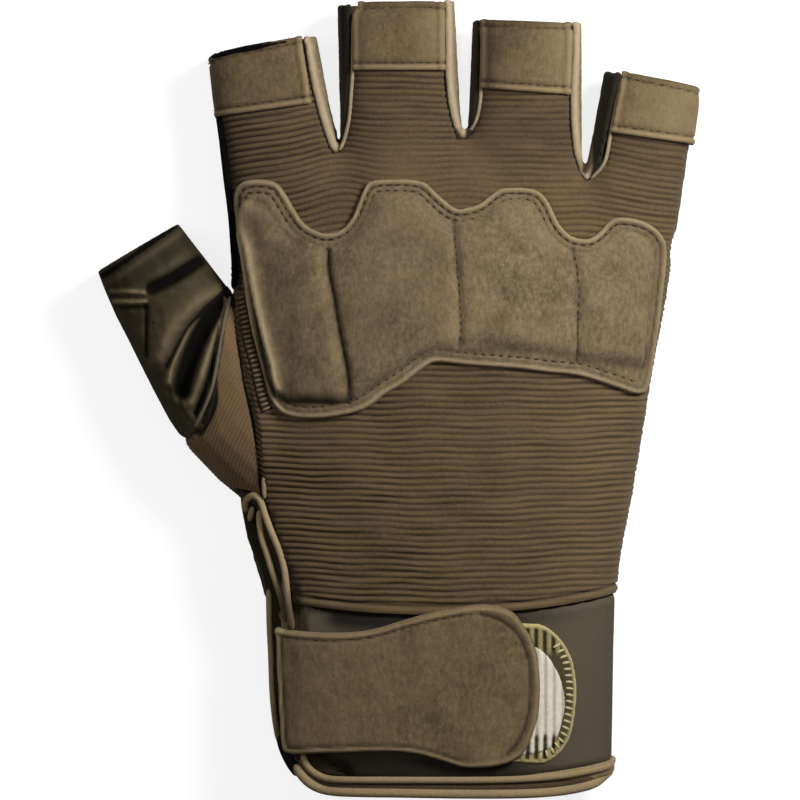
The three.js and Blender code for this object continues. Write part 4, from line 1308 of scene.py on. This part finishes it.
thumb = softened("leather_thumb", ["thumb_leather"], THUMB_VOXEL, 8)
co, normals, outer = outward_parts(thumb)
x, y, z = co.T
lift = np.zeros(len(co))
painted_shade = np.zeros(len(co))
wear_and_painted_light = np.zeros(len(co))
upper = eased(z, 8, 12)
topside = eased(normals[:, 2], 0.0, 0.45) * outer
# painted shade in the valleys and painted highlights on the crests
for rise, wide, line in THUMB_FOLDS:
    fold = bump(distance_to(x, y, smooth_line(from_picture(line))), 0, wide)
    lift += rise * fold
    if rise < 0:
        painted_shade += min(2.1, -1.25 * rise) * fold * topside
    else:
        wear_and_painted_light += min(1.15, 0.85 / wide) * fold * topside
# the root of the thumb is crumpled, and the open end has a turned rim, painted in shade along its edge and
# just inside it and painted light on the roll
crumpled = eased(y, 10, 2) * eased(x, -43, -47)
lift += 0.3 * uneven(x, y, 4, 1.5) + 0.15 * uneven(x, y, 1.5, 6.5)
lift += 0.5 * crumpled * uneven(x * 1.4, y, 1.6, 2.9)
from_rim = distance_to(x, y, THUMB_RIM)
lift += 0.35 * bump(from_rim, 1.7, 0.8)
painted_shade += 0.95 * eased(from_rim, 0.65, 0.35) * upper + 0.42 * eased(from_rim, 6.5, 4.5) * topside
wear_and_painted_light += 0.35 * bump(from_rim, 1.9, 0.8) * topside
z += lift * upper
set_points(thumb, co)
thumb.data.update()
mark_surface(thumb, wear_and_painted_light, painted_shade)
sew(thumb, "leather", leather, "thumb_leather")

# Welt and shadowed seams round the thumb and the index finger
# A thin leather cord is sewn into the thumb's seam. Black rolls of painted shadow fill the gaps beside it,
# down the index finger's side, in the thumb's web and inside the index finger's opening, and two short rows
# of thread hold the thumb's folded end.
THUMB_SEAM = from_picture([
    (-37.3, 23.0), (-37.9, 20.4), (-38.7, 17.2), (-39.5, 12.4), (-40.2, 8.4), (-41.0, 4.2), (-42.1, 0.6),
    (-43.6, -2.8), (-45.3, -6.0),
])


def at_height(points):
    """Places of points that the camera sees at given places, each with its own height."""
    x, y, z = np.array(points, float).T
    over = z - TRUE_HEIGHT / MM
    away = CAMERA_AWAY / MM
    flat_y = y
    for _ in range(3):
        nearer = (away - flat_y * math.sin(CAMERA_LEAN) - over * math.cos(CAMERA_LEAN)) / away
        flat_y = (y * nearer + over * math.sin(CAMERA_LEAN)) / math.cos(CAMERA_LEAN)
    return np.stack([x * nearer, flat_y, z], axis=1)


# near-black leather for rolls put where there is only shade: painted shadow
shadow_black = leather_material("shadow_black", colour(0.004, 0.003, 0.002), colour(0.006, 0.0045, 0.003), 0.95)
welt = leather_material("welt_leather", colour(0.034, 0.028, 0.017), colour(0.060, 0.052, 0.031), 0.8)
sew(piping("thumb_welt", THUMB_SEAM, 0.42, -0.05), "leather", welt)
# painted shadow: black rolls sunk beside the welt and along the gusset's edge
sew(piping("thumb_seam_shadow", THUMB_SEAM + np.array([0.9, 0.4]), 1.0, -1.3), "leather", shadow_black)
sew(piping("gusset_seam_shadow", WRIST_AND_THUMB_SIDE[1:7], 1.0, -1.7), "leather", shadow_black)
# painted shadow: a black roll down the index finger's side, which faces away from the lamp
SIDE_SHADOW_LINE = [
    (-39.9, 63.5, 12), (-39.7, 61.5, 12), (-39.1, 57.2, 12.5),
    (-38.6, 52.7, 13), (-38.1, 48.3, 14), (-37.5, 43.9, 14.5), (-37.0, 39.5, 15), (-36.7, 35.1, 15),
    (-36.4, 30.7, 15.5), (-36.3, 27.2, 16), (-36.6, 24.4, 16.5),
]
side_line = at_height(SIDE_SHADOW_LINE)
side_x, side_y, side_z = side_line.T
side_run_y = np.arange(side_y[0], side_y[-1], -0.5)
side_places = np.stack([
    np.interp(-side_run_y, -side_y, side_x), side_run_y, np.interp(-side_run_y, -side_y, side_z),
], axis=1)
sew(rolled("index_side_shadow", side_places, 0.75, painted_shade=1), "leather", shadow_black)
# painted shadow: a black roll in the thumb's web
web = at_height([
    (-39.4, 25.2, 13.8), (-38.5, 24.4, 14.4), (-37.8, 23.5, 14.8), (-37.6, 22.4, 14.8),
    (-37.8, 21.0, 14.6),
])
sew(rolled("thumb_web_shadow", web, 0.85, painted_shade=0.8), "leather", shadow_black)
# painted shadow: a black roll inside the index finger's opening
index_opening_shadow = at_height([
    (-41.3, 75.4, 14.4), (-38.5, 76.3, 15.4), (-34, 77.2, 16.0), (-29, 78.2, 16.2), (-25, 78.9, 16.2),
])
sew(rolled("index_opening_shadow", index_opening_shadow, 0.75, 6, painted_shade=1), "suede", shadow_black)
for line, pitch, length, lift in (
    ([(-53.9, 20.2), (-54.0, 14.0), (-53.7, 9.2)], 1.3, 0.8, 0.05),
    ([(-63.0, 22.9), (-59.6, 22.8), (-56.6, 22.8)], 1.6, 1.0, 0.0),
):
    thread_row("thumb_stitches", from_picture(line), pitch, length, lift, 0.2)

# Stretch gusset
# A wedge of the ribbed stretch fabric between thumb and back, with finer ribs that slant. It is sewn to
# the thumb's welt on one side and to the back on the other, and gives when the thumb moves.
GUSSET_RIB = 0.85
GUSSET_SLANT = math.radians(-27)
GUSSET_VOXEL = 0.4 * MM
OVERLAP = 1.15  # a closed seam goes a little way into its neighbour
# its deepest colour is nearly black, for the painted shade in the crevice
gusset_knit = knit_material(
    "gusset_knit", colour(0.105, 0.066, 0.031), colour(0.170, 0.108, 0.052), False, 0.05,
)


def closed_up(co, neighbour, within):
    """Brings the points that lie near another piece up to it, so that the seam between them is shut."""
    moved = co.copy()
    for number, place in enumerate(co):
        near, _, _, gap = neighbour.find_nearest(Vector(place) * MM, within * MM)
        if near is not None:
            share = float(eased(gap / MM, within, 0.6 * within))
            moved[number] += (np.array(near) / MM - place) * share * OVERLAP
    return moved


gusset = softened("thumb_gusset_knit", ["thumb_gusset"], GUSSET_VOXEL, 5)
co, normals, outer = outward_parts(gusset)
x, y, z = co.T
turns = (x * math.cos(GUSSET_SLANT) + y * math.sin(GUSSET_SLANT) + 0.25 * z) / GUSSET_RIB
groove = bump(to_nearest(turns, GUSSET_RIB), 0, 0.22) * outer
fade = 0.25 + 0.75 * eased(y, 10, -8)
# both edges are drawn into their seams, and beside the thumb the seam opens into a crevice, with painted
# shade in it
edge_in = 0.9 * np.exp(-distance_to(x, y, WRIST_AND_THUMB_SIDE) / 0.5)
seam_away = distance_to(x, y, THUMB_SEAM)
crevice = 2.0 * eased(y, 7, -3)
seam_dark = eased(seam_away, 0.75 + crevice, 0.4 + 0.8 * crevice)
narrow_end = 1 - 0.75 * eased(y, 12, 18)
sunk = 0.14 * groove * fade + edge_in * outer * narrow_end + 0.45 * crevice * seam_dark * outer
co -= normals * sunk[:, None]
co = closed_up(co, tree_of(thumb.data), 1.5)
co = closed_up(co, tree_of(palm.data), 1.3)
set_points(gusset, co)
# painted shade in the grooves, along both edges and in the crevice; the crests paler with wear and painted
# light
painted_shade = groove * fade * 0.4 + (edge_in * 0.9 + 1.2 * seam_dark) * narrow_end
mark_surface(gusset, (1 - groove) * 0.4, painted_shade)
sew(gusset, "ribbed_knit", gusset_knit, "thumb_gusset")

# Overlock seam that joins the gusset to the back
# A narrow raised band beside the guard with thread bars across it, and slanting stitches down the seam.
LADDER = smooth_line(from_picture([
    (-34.7, 23.0), (-34.4, 19.8), (-33.9, 16.5), (-33.3, 12.8), (-31.9, 7.7), (-30.8, 2.7), (-30.0, -0.4),
    (-29.2, -2.4),
]))
ZIGZAG = smooth_line(from_picture([
    (-35.9, 17.5), (-35.2, 12.8), (-33.9, 7.7), (-32.8, 2.9), (-32, -1), (-31.4, -5.5), (-30.8, -12),
    (-29.7, -18.2),
]))
LADDER_WIDE = 1.2
LADDER_CELL = 0.4
way = np.gradient(LADDER, axis=0)
way /= np.linalg.norm(way, axis=1, keepdims=True)
aside = np.stack([-way[:, 1], way[:, 0]], axis=1) * LADDER_WIDE
ladder_ring = np.vstack([LADDER + aside, (LADDER - aside)[::-1]])


def thread_material(name, tint, roughness, gloss):
    """Plain sewing thread."""
    material, _, shader = finish_material(name, roughness)
    shader.inputs["Base Color"].default_value = tint
    shader.inputs["Specular IOR Level"].default_value = gloss
    return material


seam_thread = thread_material("seam_thread", colour(0.175, 0.13, 0.072), 0.75, 0.15)
edge_thread = thread_material("edge_thread", colour(0.03, 0.02, 0.01), 0.9, 0.1)


def ladder_shape(u, v):
    rim = distance_to(u, v, ladder_ring, closed=True)
    over = -0.1 + 0.75 * rounded(rim, 0.6)
    # the band is painted almost black, darkest at its edges
    return v, np.full(u.shape, -0.4), over, np.zeros(u.shape), 0.9 + 0.1 * np.exp(-rim / 0.3)


rows, columns = marks(-4, 26, LADDER_CELL), marks(-37, -27, LADDER_CELL)
ladder = draped("seam_band", ladder_ring, rows, columns, ladder_shape)
sew(ladder, "ribbed_knit", gusset_knit)
thread_row("seam_bars", LADDER, 1.08, 2.2, 0.6, 0.3, turn=90)
thread_row("edge_stitches", ZIGZAG, 1.2, 2.3, 0.15, 0.28, turn=38)

# Elastic cuff
# A dark grey tube of plain elastic fabric round the wrist. Its upper end goes in under the back's hem,
# and its lower edge is bound with tape.
CUFF_VOXEL = 0.6 * MM
elastic, tree, shader = finish_material("elastic_cuff", 0.72)
fibre = placed_group(tree, FIBRE, object_place(tree), Fleck_Size=0.35, Patch_Size=12, Stretch=1.0)
base = blend(tree, fibre["Patch"], colour(0.047, 0.037, 0.025), colour(0.070, 0.055, 0.038))
# the paler colour is painted light and the near-black one painted shade
base = painted_wear_light_and_shade(tree, base, colour(0.088, 0.071, 0.049), 1.0, colour(0.004, 0.0025, 0.001), 0.96)
join_up(tree, shader, base, fibre["Height"], 0.35, 0.08, 0.2)
binding_tree = tree_of(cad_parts["edge_binding"].data)
cuff = softened("elastic_cuff", ["wrist_cuff"], CUFF_VOXEL, 5)
co, normals, outer = outward_parts(cuff)
x, y, z = co.T
near_tape = np.array([binding_tree.find_nearest(Vector(p * MM), 0.004)[3] or 0.004 for p in co]) / MM
# drawn in beside the tape and under the back's hem
tuck = 1.3 * eased(near_tape, 2.2, 0.6)
below_form = read_wrap(wrap_z, x, y) - z
top_of_cuff = eased(z, 12, 18)
topside = eased(below_form, 3.2, 1.6) * top_of_cuff
under_hem = bump(y - hem_line(x), 0, 3.2) * top_of_cuff
z -= topside * (tuck + 0.9 * under_hem * eased(x, 38, 20))
from_hem = y - hem_line(x)
y += 1.5 * eased(from_hem, -3.5, -1.2) - 0.9 * eased(y, -81, -83)
co -= normals * (1.7 * eased(y - hem_line(x), -0.7, 0.3) * outer)[:, None]
co[:, 2] = np.maximum(z, 0)
set_points(cuff, co)
# painted shadow of the hem, but for the corner by the slit, which is painted lit like the cuff's right
# side, and painted shade above the tape
hem_shadow = eased(from_hem, -5.5, -2.2) * eased(x, 47, 12) * eased(x, -19, -13)
lit_corner = eased(x, -13, -17) * eased(y, -56, -50)
hem_shadow = np.maximum(hem_shadow, eased(from_hem, -1.3, -0.6))
low_shadow = eased(y, -76.5, -79.5) * eased(x, 38, 20)
wear_and_painted_light = np.maximum(0.8 * eased(x, 22, 42), lit_corner)
mark_surface(cuff, wear_and_painted_light, np.maximum(1.08 * hem_shadow, 0.9 * low_shadow) * top_of_cuff)
sew(cuff, "elastic_fabric", elastic, "wrist_cuff")

# Binding tape
# A woven brown tape folded over the cuff's lower edge and over both lips of the slit beside the thumb,
# and sewn down along its inner edge.
BINDING_VOXEL = 0.45 * MM
CUFF_END = -87.6
CUFF_END_BOW = 0.0019
tape = suede_material("binding_tape", colour(0.12, 0.087, 0.045), colour(0.25, 0.189, 0.103), 0.5)
binding = softened("wrist_binding", ["edge_binding"], BINDING_VOXEL, 6)
co, normals, outer = outward_parts(binding)
x, y, z = co.T
hem_away = y - (CUFF_END + CUFF_END_BOW * (x - WRIST_MIDDLE) ** 2)
on_hem = eased(x, -22, -16)
slit_side = eased(x, -18, -22) * eased(y, -60, -56)
# a groove between the two rolls of the hem, and the slit's lips flattened under the strap
lift = (-0.55 * bump(hem_away, 2.3, 0.28) + 0.2 * bump(hem_away, 1.0, 0.9)) * on_hem * outer
lift -= 0.5 * slit_side * eased(z, 12, 16)
co += normals * lift[:, None]
co[:, 2] = np.maximum(z, 0)
# painted shade in the slit, beside the ribs, on the slit's lower lip and in the corner under the strap;
# painted light on the hem's outer roll
slit_dark = eased(y, -41.5, -39.5) * eased(x, -20, -24)
wear_and_painted_light = 0.5 * bump(hem_away, 2.9, 0.4) * on_hem
corner = eased(x, -8, -12) * eased(y, -76, -79)
upper = eased(z, 12, 16)
# under the rolls the tape itself is moved back out of sight
at_hem = eased(hem_away, 4.5, 3.0)
y += 1.3 * at_hem * np.maximum(upper, eased(x, 42, 46))
z -= (1.3 * corner + 0.8 * at_hem) * upper
beside_ribs = eased(x, -25.2, -24.4) * eased(y, -36, -39) * upper
lower_limb = eased(z, 18.4, 17.4) * eased(x, -21, -23) * eased(y, -23.5, -25)
slit_dark = np.maximum(slit_dark, np.maximum(beside_ribs, lower_limb) * (1 - at_hem))
set_points(binding, co)
# painted shade in the groove between the hem's rolls, in the slit and in the corner
shade = np.maximum(0.8 * bump(hem_away, 2.3, 0.3) * on_hem, np.maximum(slit_dark, corner))
mark_surface(binding, wear_and_painted_light, shade)
sew(binding, "binding_tape", tape, "edge_binding")

# Rolled edges of the tape
# Where the tape turns over an edge it stands up as a soft roll: round the slit, and twice along the hem
# with a groove between, filled by a dark roll of painted shade. The slit's rolls are a paler copy of the
# tape, painted lit, and darken towards the strap with painted shade. A black roll of painted shadow closes
# the corner under the strap.
# lighter and darker copies of the tape: painted light on the slit's rolls and painted shade in the hem's
# groove
lit_tape = suede_material(
    "lit_binding_tape", colour(0.165, 0.118, 0.062), colour(0.31, 0.235, 0.132), 0.5,
)
shaded_tape = suede_material(
    "shaded_binding_tape", colour(0.03, 0.02, 0.01), colour(0.06, 0.043, 0.022), 0.5,
)
ROLLS = [
    {"name": "slit_outer_roll", "radius": 0.75, "look": lit_tape, "line": [
        (-33.9, -24.6, 15.6), (-34.1, -22.9, 17.0), (-33.5, -21.7, 18.5), (-32.3, -21.0, 20.0),
        (-31.1, -21.6, 21.0), (-30.3, -23.2, 21.4), (-29.4, -26.0, 21.9), (-28.1, -29.4, 22.3),
        (-26.6, -33.0, 22.6), (-25.5, -36.9, 22.7), (-25, -40.6, 22.6), (-24.6, -44.9, 22.3),
        (-23.6, -50.4, 22.0)], "fade": (-37, -47)},
    {"name": "slit_inner_roll", "radius": 0.72, "look": lit_tape, "line": [
        (-30.9, -24.0, 19.6), (-30.9, -27.0, 20.1), (-30.4, -30.2, 20.5), (-29.4, -33.4, 20.7),
        (-28.0, -37.9, 20.7), (-26.9, -41.2, 20.6), (-25.8, -44.8, 20.6), (-25.2, -48.8, 20.5)],
     "fade": (-36, -46)},
    {"name": "slit_tab", "radius": 0.72, "look": lit_tape, "line": [
        (-32.4, -23.4, 16.4), (-32.7, -24.8, 15.9), (-33.1, -26.6, 14.9)]},
    {"name": "slit_seam_end", "radius": 0.5, "lift": 0.1, "look": tape, "line": [
        (-30, -16.9), (-29.9, -19.4), (-29.7, -21.6)]},
    {"name": "slit_lower_edge", "radius": 0.66, "look": lit_tape, "line": [
        (-28.9, -41.6, 15.7), (-28.8, -46.0, 15.8), (-28.7, -50, 15.8), (-28.4, -56, 15.7),
        (-28.1, -64, 15.4), (-27.6, -69.5, 13.8), (-26.9, -73.8, 9.6), (-26.1, -75.6, 8.2)]},
    {"name": "corner_shadow", "radius": 1.5, "look": shadow_black, "line": [
        (-26.0, -73.5, 14.6), (-25.3, -76.2, 14.8), (-24.4, -78.4, 15.1), (-23.1, -80.6, 15.5),
        (-21.5, -82.4, 15.9)]},
    {"name": "hem_groove_shadow", "radius": 1.0, "lift": -0.9, "look": shaded_tape, "line": [
        (-22.2, -78.8), (-20.9, -81.8), (-18.7, -83.6), (-15.4, -84.8), (-12, -85.1), (0, -85.2),
        (23.5, -85.1), (35, -84.5), (42, -83.2), (46.2, -81.6)],
     "down": [(50, -81.9), (54, -82.0), (58, -82.0)]},
    {"name": "hem_outer_roll", "radius": 1.05, "lift": -0.3, "look": tape, "line": [
        (-23.2, -80.2), (-22.2, -81.9), (-20.9, -83.6), (-19.0, -85.0), (-16.3, -85.9),
        (-12.1, -86.3), (0, -86.5), (23.5, -86.7), (35, -86.1), (41.8, -84.8), (45.3, -83.5)],
     "down": [(48.5, -83.1), (52, -83.4), (58, -83.5)]},
    {"name": "hem_inner_roll", "radius": 0.78, "lift": 0.25, "look": tape, "line": [
        (-21.3, -77.6), (-20.7, -80.0), (-19.4, -81.7), (-16.9, -83.0), (-13.6, -83.5), (0, -83.6),
        (23.5, -83.5), (35, -82.7), (41.8, -81.5), (46.0, -80.5)],
     "down": [(50, -80.4), (54, -80.5), (58, -80.5)]},
]
for roll in ROLLS:
    if "lift" in roll:
        line = np.vstack([from_picture(roll["line"]), *roll.get("down", [])])
        piece = piping(roll["name"], line, roll["radius"], roll["lift"])
    else:
        line = smooth_line(at_height(roll["line"]), spacing=0.4)
        piece = rolled(roll["name"], line, roll["radius"], fade=roll.get("fade"))
    sew(piece, "binding_tape", roll["look"])
# painted shadow: a black roll fills the gap below the back's hem
hem_run = [(u, hem_line(u) - 0.3) for u in np.arange(-20, 57, 3)]
sew(piping("hem_gap_shadow", hem_run, 0.9, -1.5), "elastic_fabric", shadow_black)

# Hook-and-loop patch
# The patch that the strap closes on: ribbed ivory loop pile on a stiff base, whose edge is overlocked
# with olive thread and crossed by bars of gold thread. It is sewn flat on the cuff.
PATCH_OUTLINE = from_picture([
    (15, -49.6), (22, -49.1), (28.5, -49.2), (31, -49.4), (33.3, -50.6), (35.6, -52.9), (37.5, -56.1),
    (38.4, -59.4), (38.8, -64), (38.4, -69.5), (37.5, -73.7), (36.1, -76.5), (33.8, -78.8), (31.5, -79.9),
    (28.2, -79.9), (22, -79.2), (15, -77.0),
])
PATCH_FACE = from_picture([
    (17, -54.2), (22, -54.1), (29.4, -54.3), (31, -54.9), (32.8, -56.6), (34.2, -58.9), (35.4, -61.7),
    (36.1, -64.9), (36.1, -68.6), (35.4, -71.6), (34.3, -74.6), (32.6, -76.8), (28.2, -78.0), (22, -77.6),
    (17, -76),
])
patch_ring = smooth_line(PATCH_OUTLINE, closed=True, spacing=0.6)
face_ring = smooth_line(PATCH_FACE, closed=True, spacing=0.6)
PATCH_MIDDLE = (24, -64.5)
PATCH_CELL = 0.5
PATCH_ROW = 1.65  # how far the middles of the bars are from the edge
FACE_CELL = 0.45
FACE_RIB = 1.9
FACE_RIB_START = 30.8


def rib_distance(u):
    """How far each place is from the nearest rib's crest."""
    return to_nearest((u - FACE_RIB_START) / FACE_RIB, FACE_RIB)


def patch_shape(u, v):
    rim = distance_to(u, v, patch_ring, closed=True)
    above = eased(v, -56, -54.5)
    below = eased(v, -73.5, -75)
    gap = eased(rib_distance(u), 0.42, 0.6) * eased(rim, 0.7, 1.1) * (above + below)
    over = -0.2 + 0.75 * rounded(rim, 0.5) - 0.35 * gap
    # painted shade in the gaps between the bars and over the base round the pile; the rim is paler
    painted_shade = 1.0 * gap + 0.85 * eased(rim, 0.7, 1.1) * (1 - above - below)
    return v, np.full(u.shape, -0.35), over, 0.5 * eased(rim, 0.9, 0.4), painted_shade


def face_shape(u, v):
    rim = distance_to(u, v, face_ring, closed=True)
    rib = rib_distance(u)
    crest = rounded(np.clip(0.95 - rib, 0, 1), 0.8)
    low_end = eased(v, -72.5, -75)
    over = 0.05 + (0.45 + 0.4 * crest) * rounded(rim, 0.6) + 0.1 * uneven(u, v, 0.7, 9.0)
    over -= 0.5 * low_end * eased(rib, 0.4, 0.65)
    # painted shade between the ribs and in the gaps at the low end; the crests are paler
    painted_shade = 0.62 * (1 - crest) + 0.95 * low_end * eased(rib, 0.4, 0.65)
    return v, np.full(u.shape, -0.3), over, 0.5 * crest, painted_shade


olive = suede_material(
    "overlock_edge", colour(0.18, 0.152, 0.06), colour(0.37, 0.32, 0.15), 0.5, deepest=0.05,
)
rows, columns = marks(-82, -48, PATCH_CELL), marks(14, 40, FACE_RIB / 6)
patch = draped("closure_patch_edge", patch_ring, rows, columns, patch_shape)
sew(patch, "overlock_thread", olive, "closure_patch")
ivory = suede_material("ivory_pile", colour(0.34, 0.31, 0.245), colour(0.58, 0.55, 0.46), 0.4)
rows, columns = marks(-79, -52, FACE_CELL), marks(16, 37.5, FACE_RIB / 8)
pile = draped("closure_patch_pile", face_ring, rows, columns, face_shape)
sew(pile, "loop_pile", ivory, "closure_patch_face")
gold_thread = thread_material("gold_thread", colour(0.42, 0.38, 0.21), 0.7, 0.5)
# the bars go round the free end only, in the order of their turn about the patch's middle
edge_run = inner_line(patch_ring, PATCH_ROW)
edge_run = edge_run[(edge_run[:, 0] > 30) & (edge_run[:, 1] < -53)]
turn_of = np.arctan2(edge_run[:, 1] - PATCH_MIDDLE[1], edge_run[:, 0] - PATCH_MIDDLE[0])
edge_run = edge_run[np.argsort(turn_of)]
thread_row("patch_bars", edge_run, 1.45, 2.2, 0.5, 0.36, turn=78)

# Strap
# A tab of two layers of tan suede, sewn round its edge and bound across its end. Its root comes out of
# the slit, and it lies over the cuff with its end closed on the patch.
STRAP_OUTLINE = from_picture([
    (-26.9, -50.1), (-23.6, -50.7), (-18, -51.2), (-13.6, -51.3), (-8.6, -51), (-4.2, -50.1),
    (0.2, -48.7), (5.8, -47.1), (11.3, -46), (16.9, -45.1), (20.4, -45.2), (23.1, -45.9), (25.2, -47.1),
    (26.9, -49.4), (28.7, -52.4), (29.9, -56.1), (30.4, -60.3), (30.5, -64.9), (30.1, -69.5),
    (29.1, -73.2), (27.8, -76.5), (25.9, -78.8), (23.1, -80.2), (20.4, -80.8), (17.6, -81.1),
    (13.5, -80.9), (9.1, -79.5), (4.1, -78.1), (-0.9, -77.5), (-7, -77.5), (-15.3, -77.8),
    (-21.9, -78.0), (-24.0, -77.7), (-25.1, -76.3), (-25.7, -69.5), (-26.2, -61.2), (-26.5, -52.9),
], 2)
STRAP_CELL = 0.5
STRAP_ROW = 1.5  # how far the stitches are from the edge
strap_ring = smooth_line(STRAP_OUTLINE, closed=True, spacing=0.7)
strap_seam = smooth_line(from_picture([
    (17.6, -46.9), (21.3, -48), (24.8, -50.6), (26.8, -53.7), (28.1, -58.3), (28.3, -65.3), (27.4, -71.1),
    (25.5, -75.3), (23.4, -77.9),
], 2))


def strap_shape(u, v):
    rim = distance_to(u, v, strap_ring, closed=True)
    seam = distance_to(u, v, strap_seam)
    over_patch = np.where(inside(u, v, patch_ring), distance_to(u, v, patch_ring, closed=True), 0)
    under = 0.4 + 0.7 * eased(over_patch, 0, 1.5)
    straight = eased(u, 18, 13)
    over = 0.5 + 1.75 * rounded(rim, 0.8)
    over += 0.18 * uneven(u, v, 7, 8.1) + 0.06 * uneven(u, v, 1.8, 3.3)
    over += 0.1 * uneven(u * 2.2, v, 3.5, 12.3)
    over -= 0.45 * bump(rim, STRAP_ROW, 0.3) * straight + 0.5 * bump(seam, 0, 0.34)
    over += 0.25 * bump(rim, 0.75, 0.4)
    # painted light on the rolled rim and over the strap's left part, painted shade in the row of stitches
    # and along the seam
    wear_and_painted_light = 0.55 * bump(rim, 0.7, 0.6) + 0.75 * eased(u, -24.2, -25.4) + 0.2 * eased(u, 2, -16)
    painted_shade = 0.7 * bump(rim, STRAP_ROW, 0.3) * straight + 0.85 * bump(seam, 0, 0.4)
    return v, under, over, wear_and_painted_light, painted_shade


rows, columns = marks(-83, -44, STRAP_CELL), marks(-28, 32, STRAP_CELL)
strap = draped("wrist_strap_suede", strap_ring, rows, columns, strap_shape)
strap_suede = suede_material("strap_material", colour(0.068, 0.049, 0.023), colour(0.172, 0.130, 0.069))
sew(strap, "suede", strap_suede, "wrist_strap")
thread_row("strap_stitches", smooth_line(from_picture([
    (-22.4, -52.3), (-17.8, -52.8), (-13.4, -52.8), (-8.8, -52.4), (-4.6, -51.6), (-0.2, -50.2),
    (5.4, -48.6), (11, -47.5), (16.4, -46.8),
], 2)), 1.9, 1.1, 1.95, 0.2)

# Thread
# All the stitches of one seam are one piece of twisted thread, pulled half into the cloth. The rows were
# set out with their panels above and get their colours here.
thread_tan = thread_material("tan_thread", colour(0.050, 0.035, 0.018), 0.95, 0.05)
THREADS = {
    "band_stitches": ("suede", thread_tan),
    "guard_stitches": ("suede", thread_tan),
    "strap_stitches": ("suede", thread_tan),
    "thumb_stitches": ("leather", thread_tan),
    "seam_bars": ("ribbed_knit", seam_thread),
    "edge_stitches": ("ribbed_knit", edge_thread),
    "patch_bars": ("overlock_thread", gold_thread),
}
for group, target in thread_work.items():
    piece = mesh_piece(group, target)
    for face in piece.data.polygons:
        face.use_smooth = True
    sew(piece, *THREADS[group])
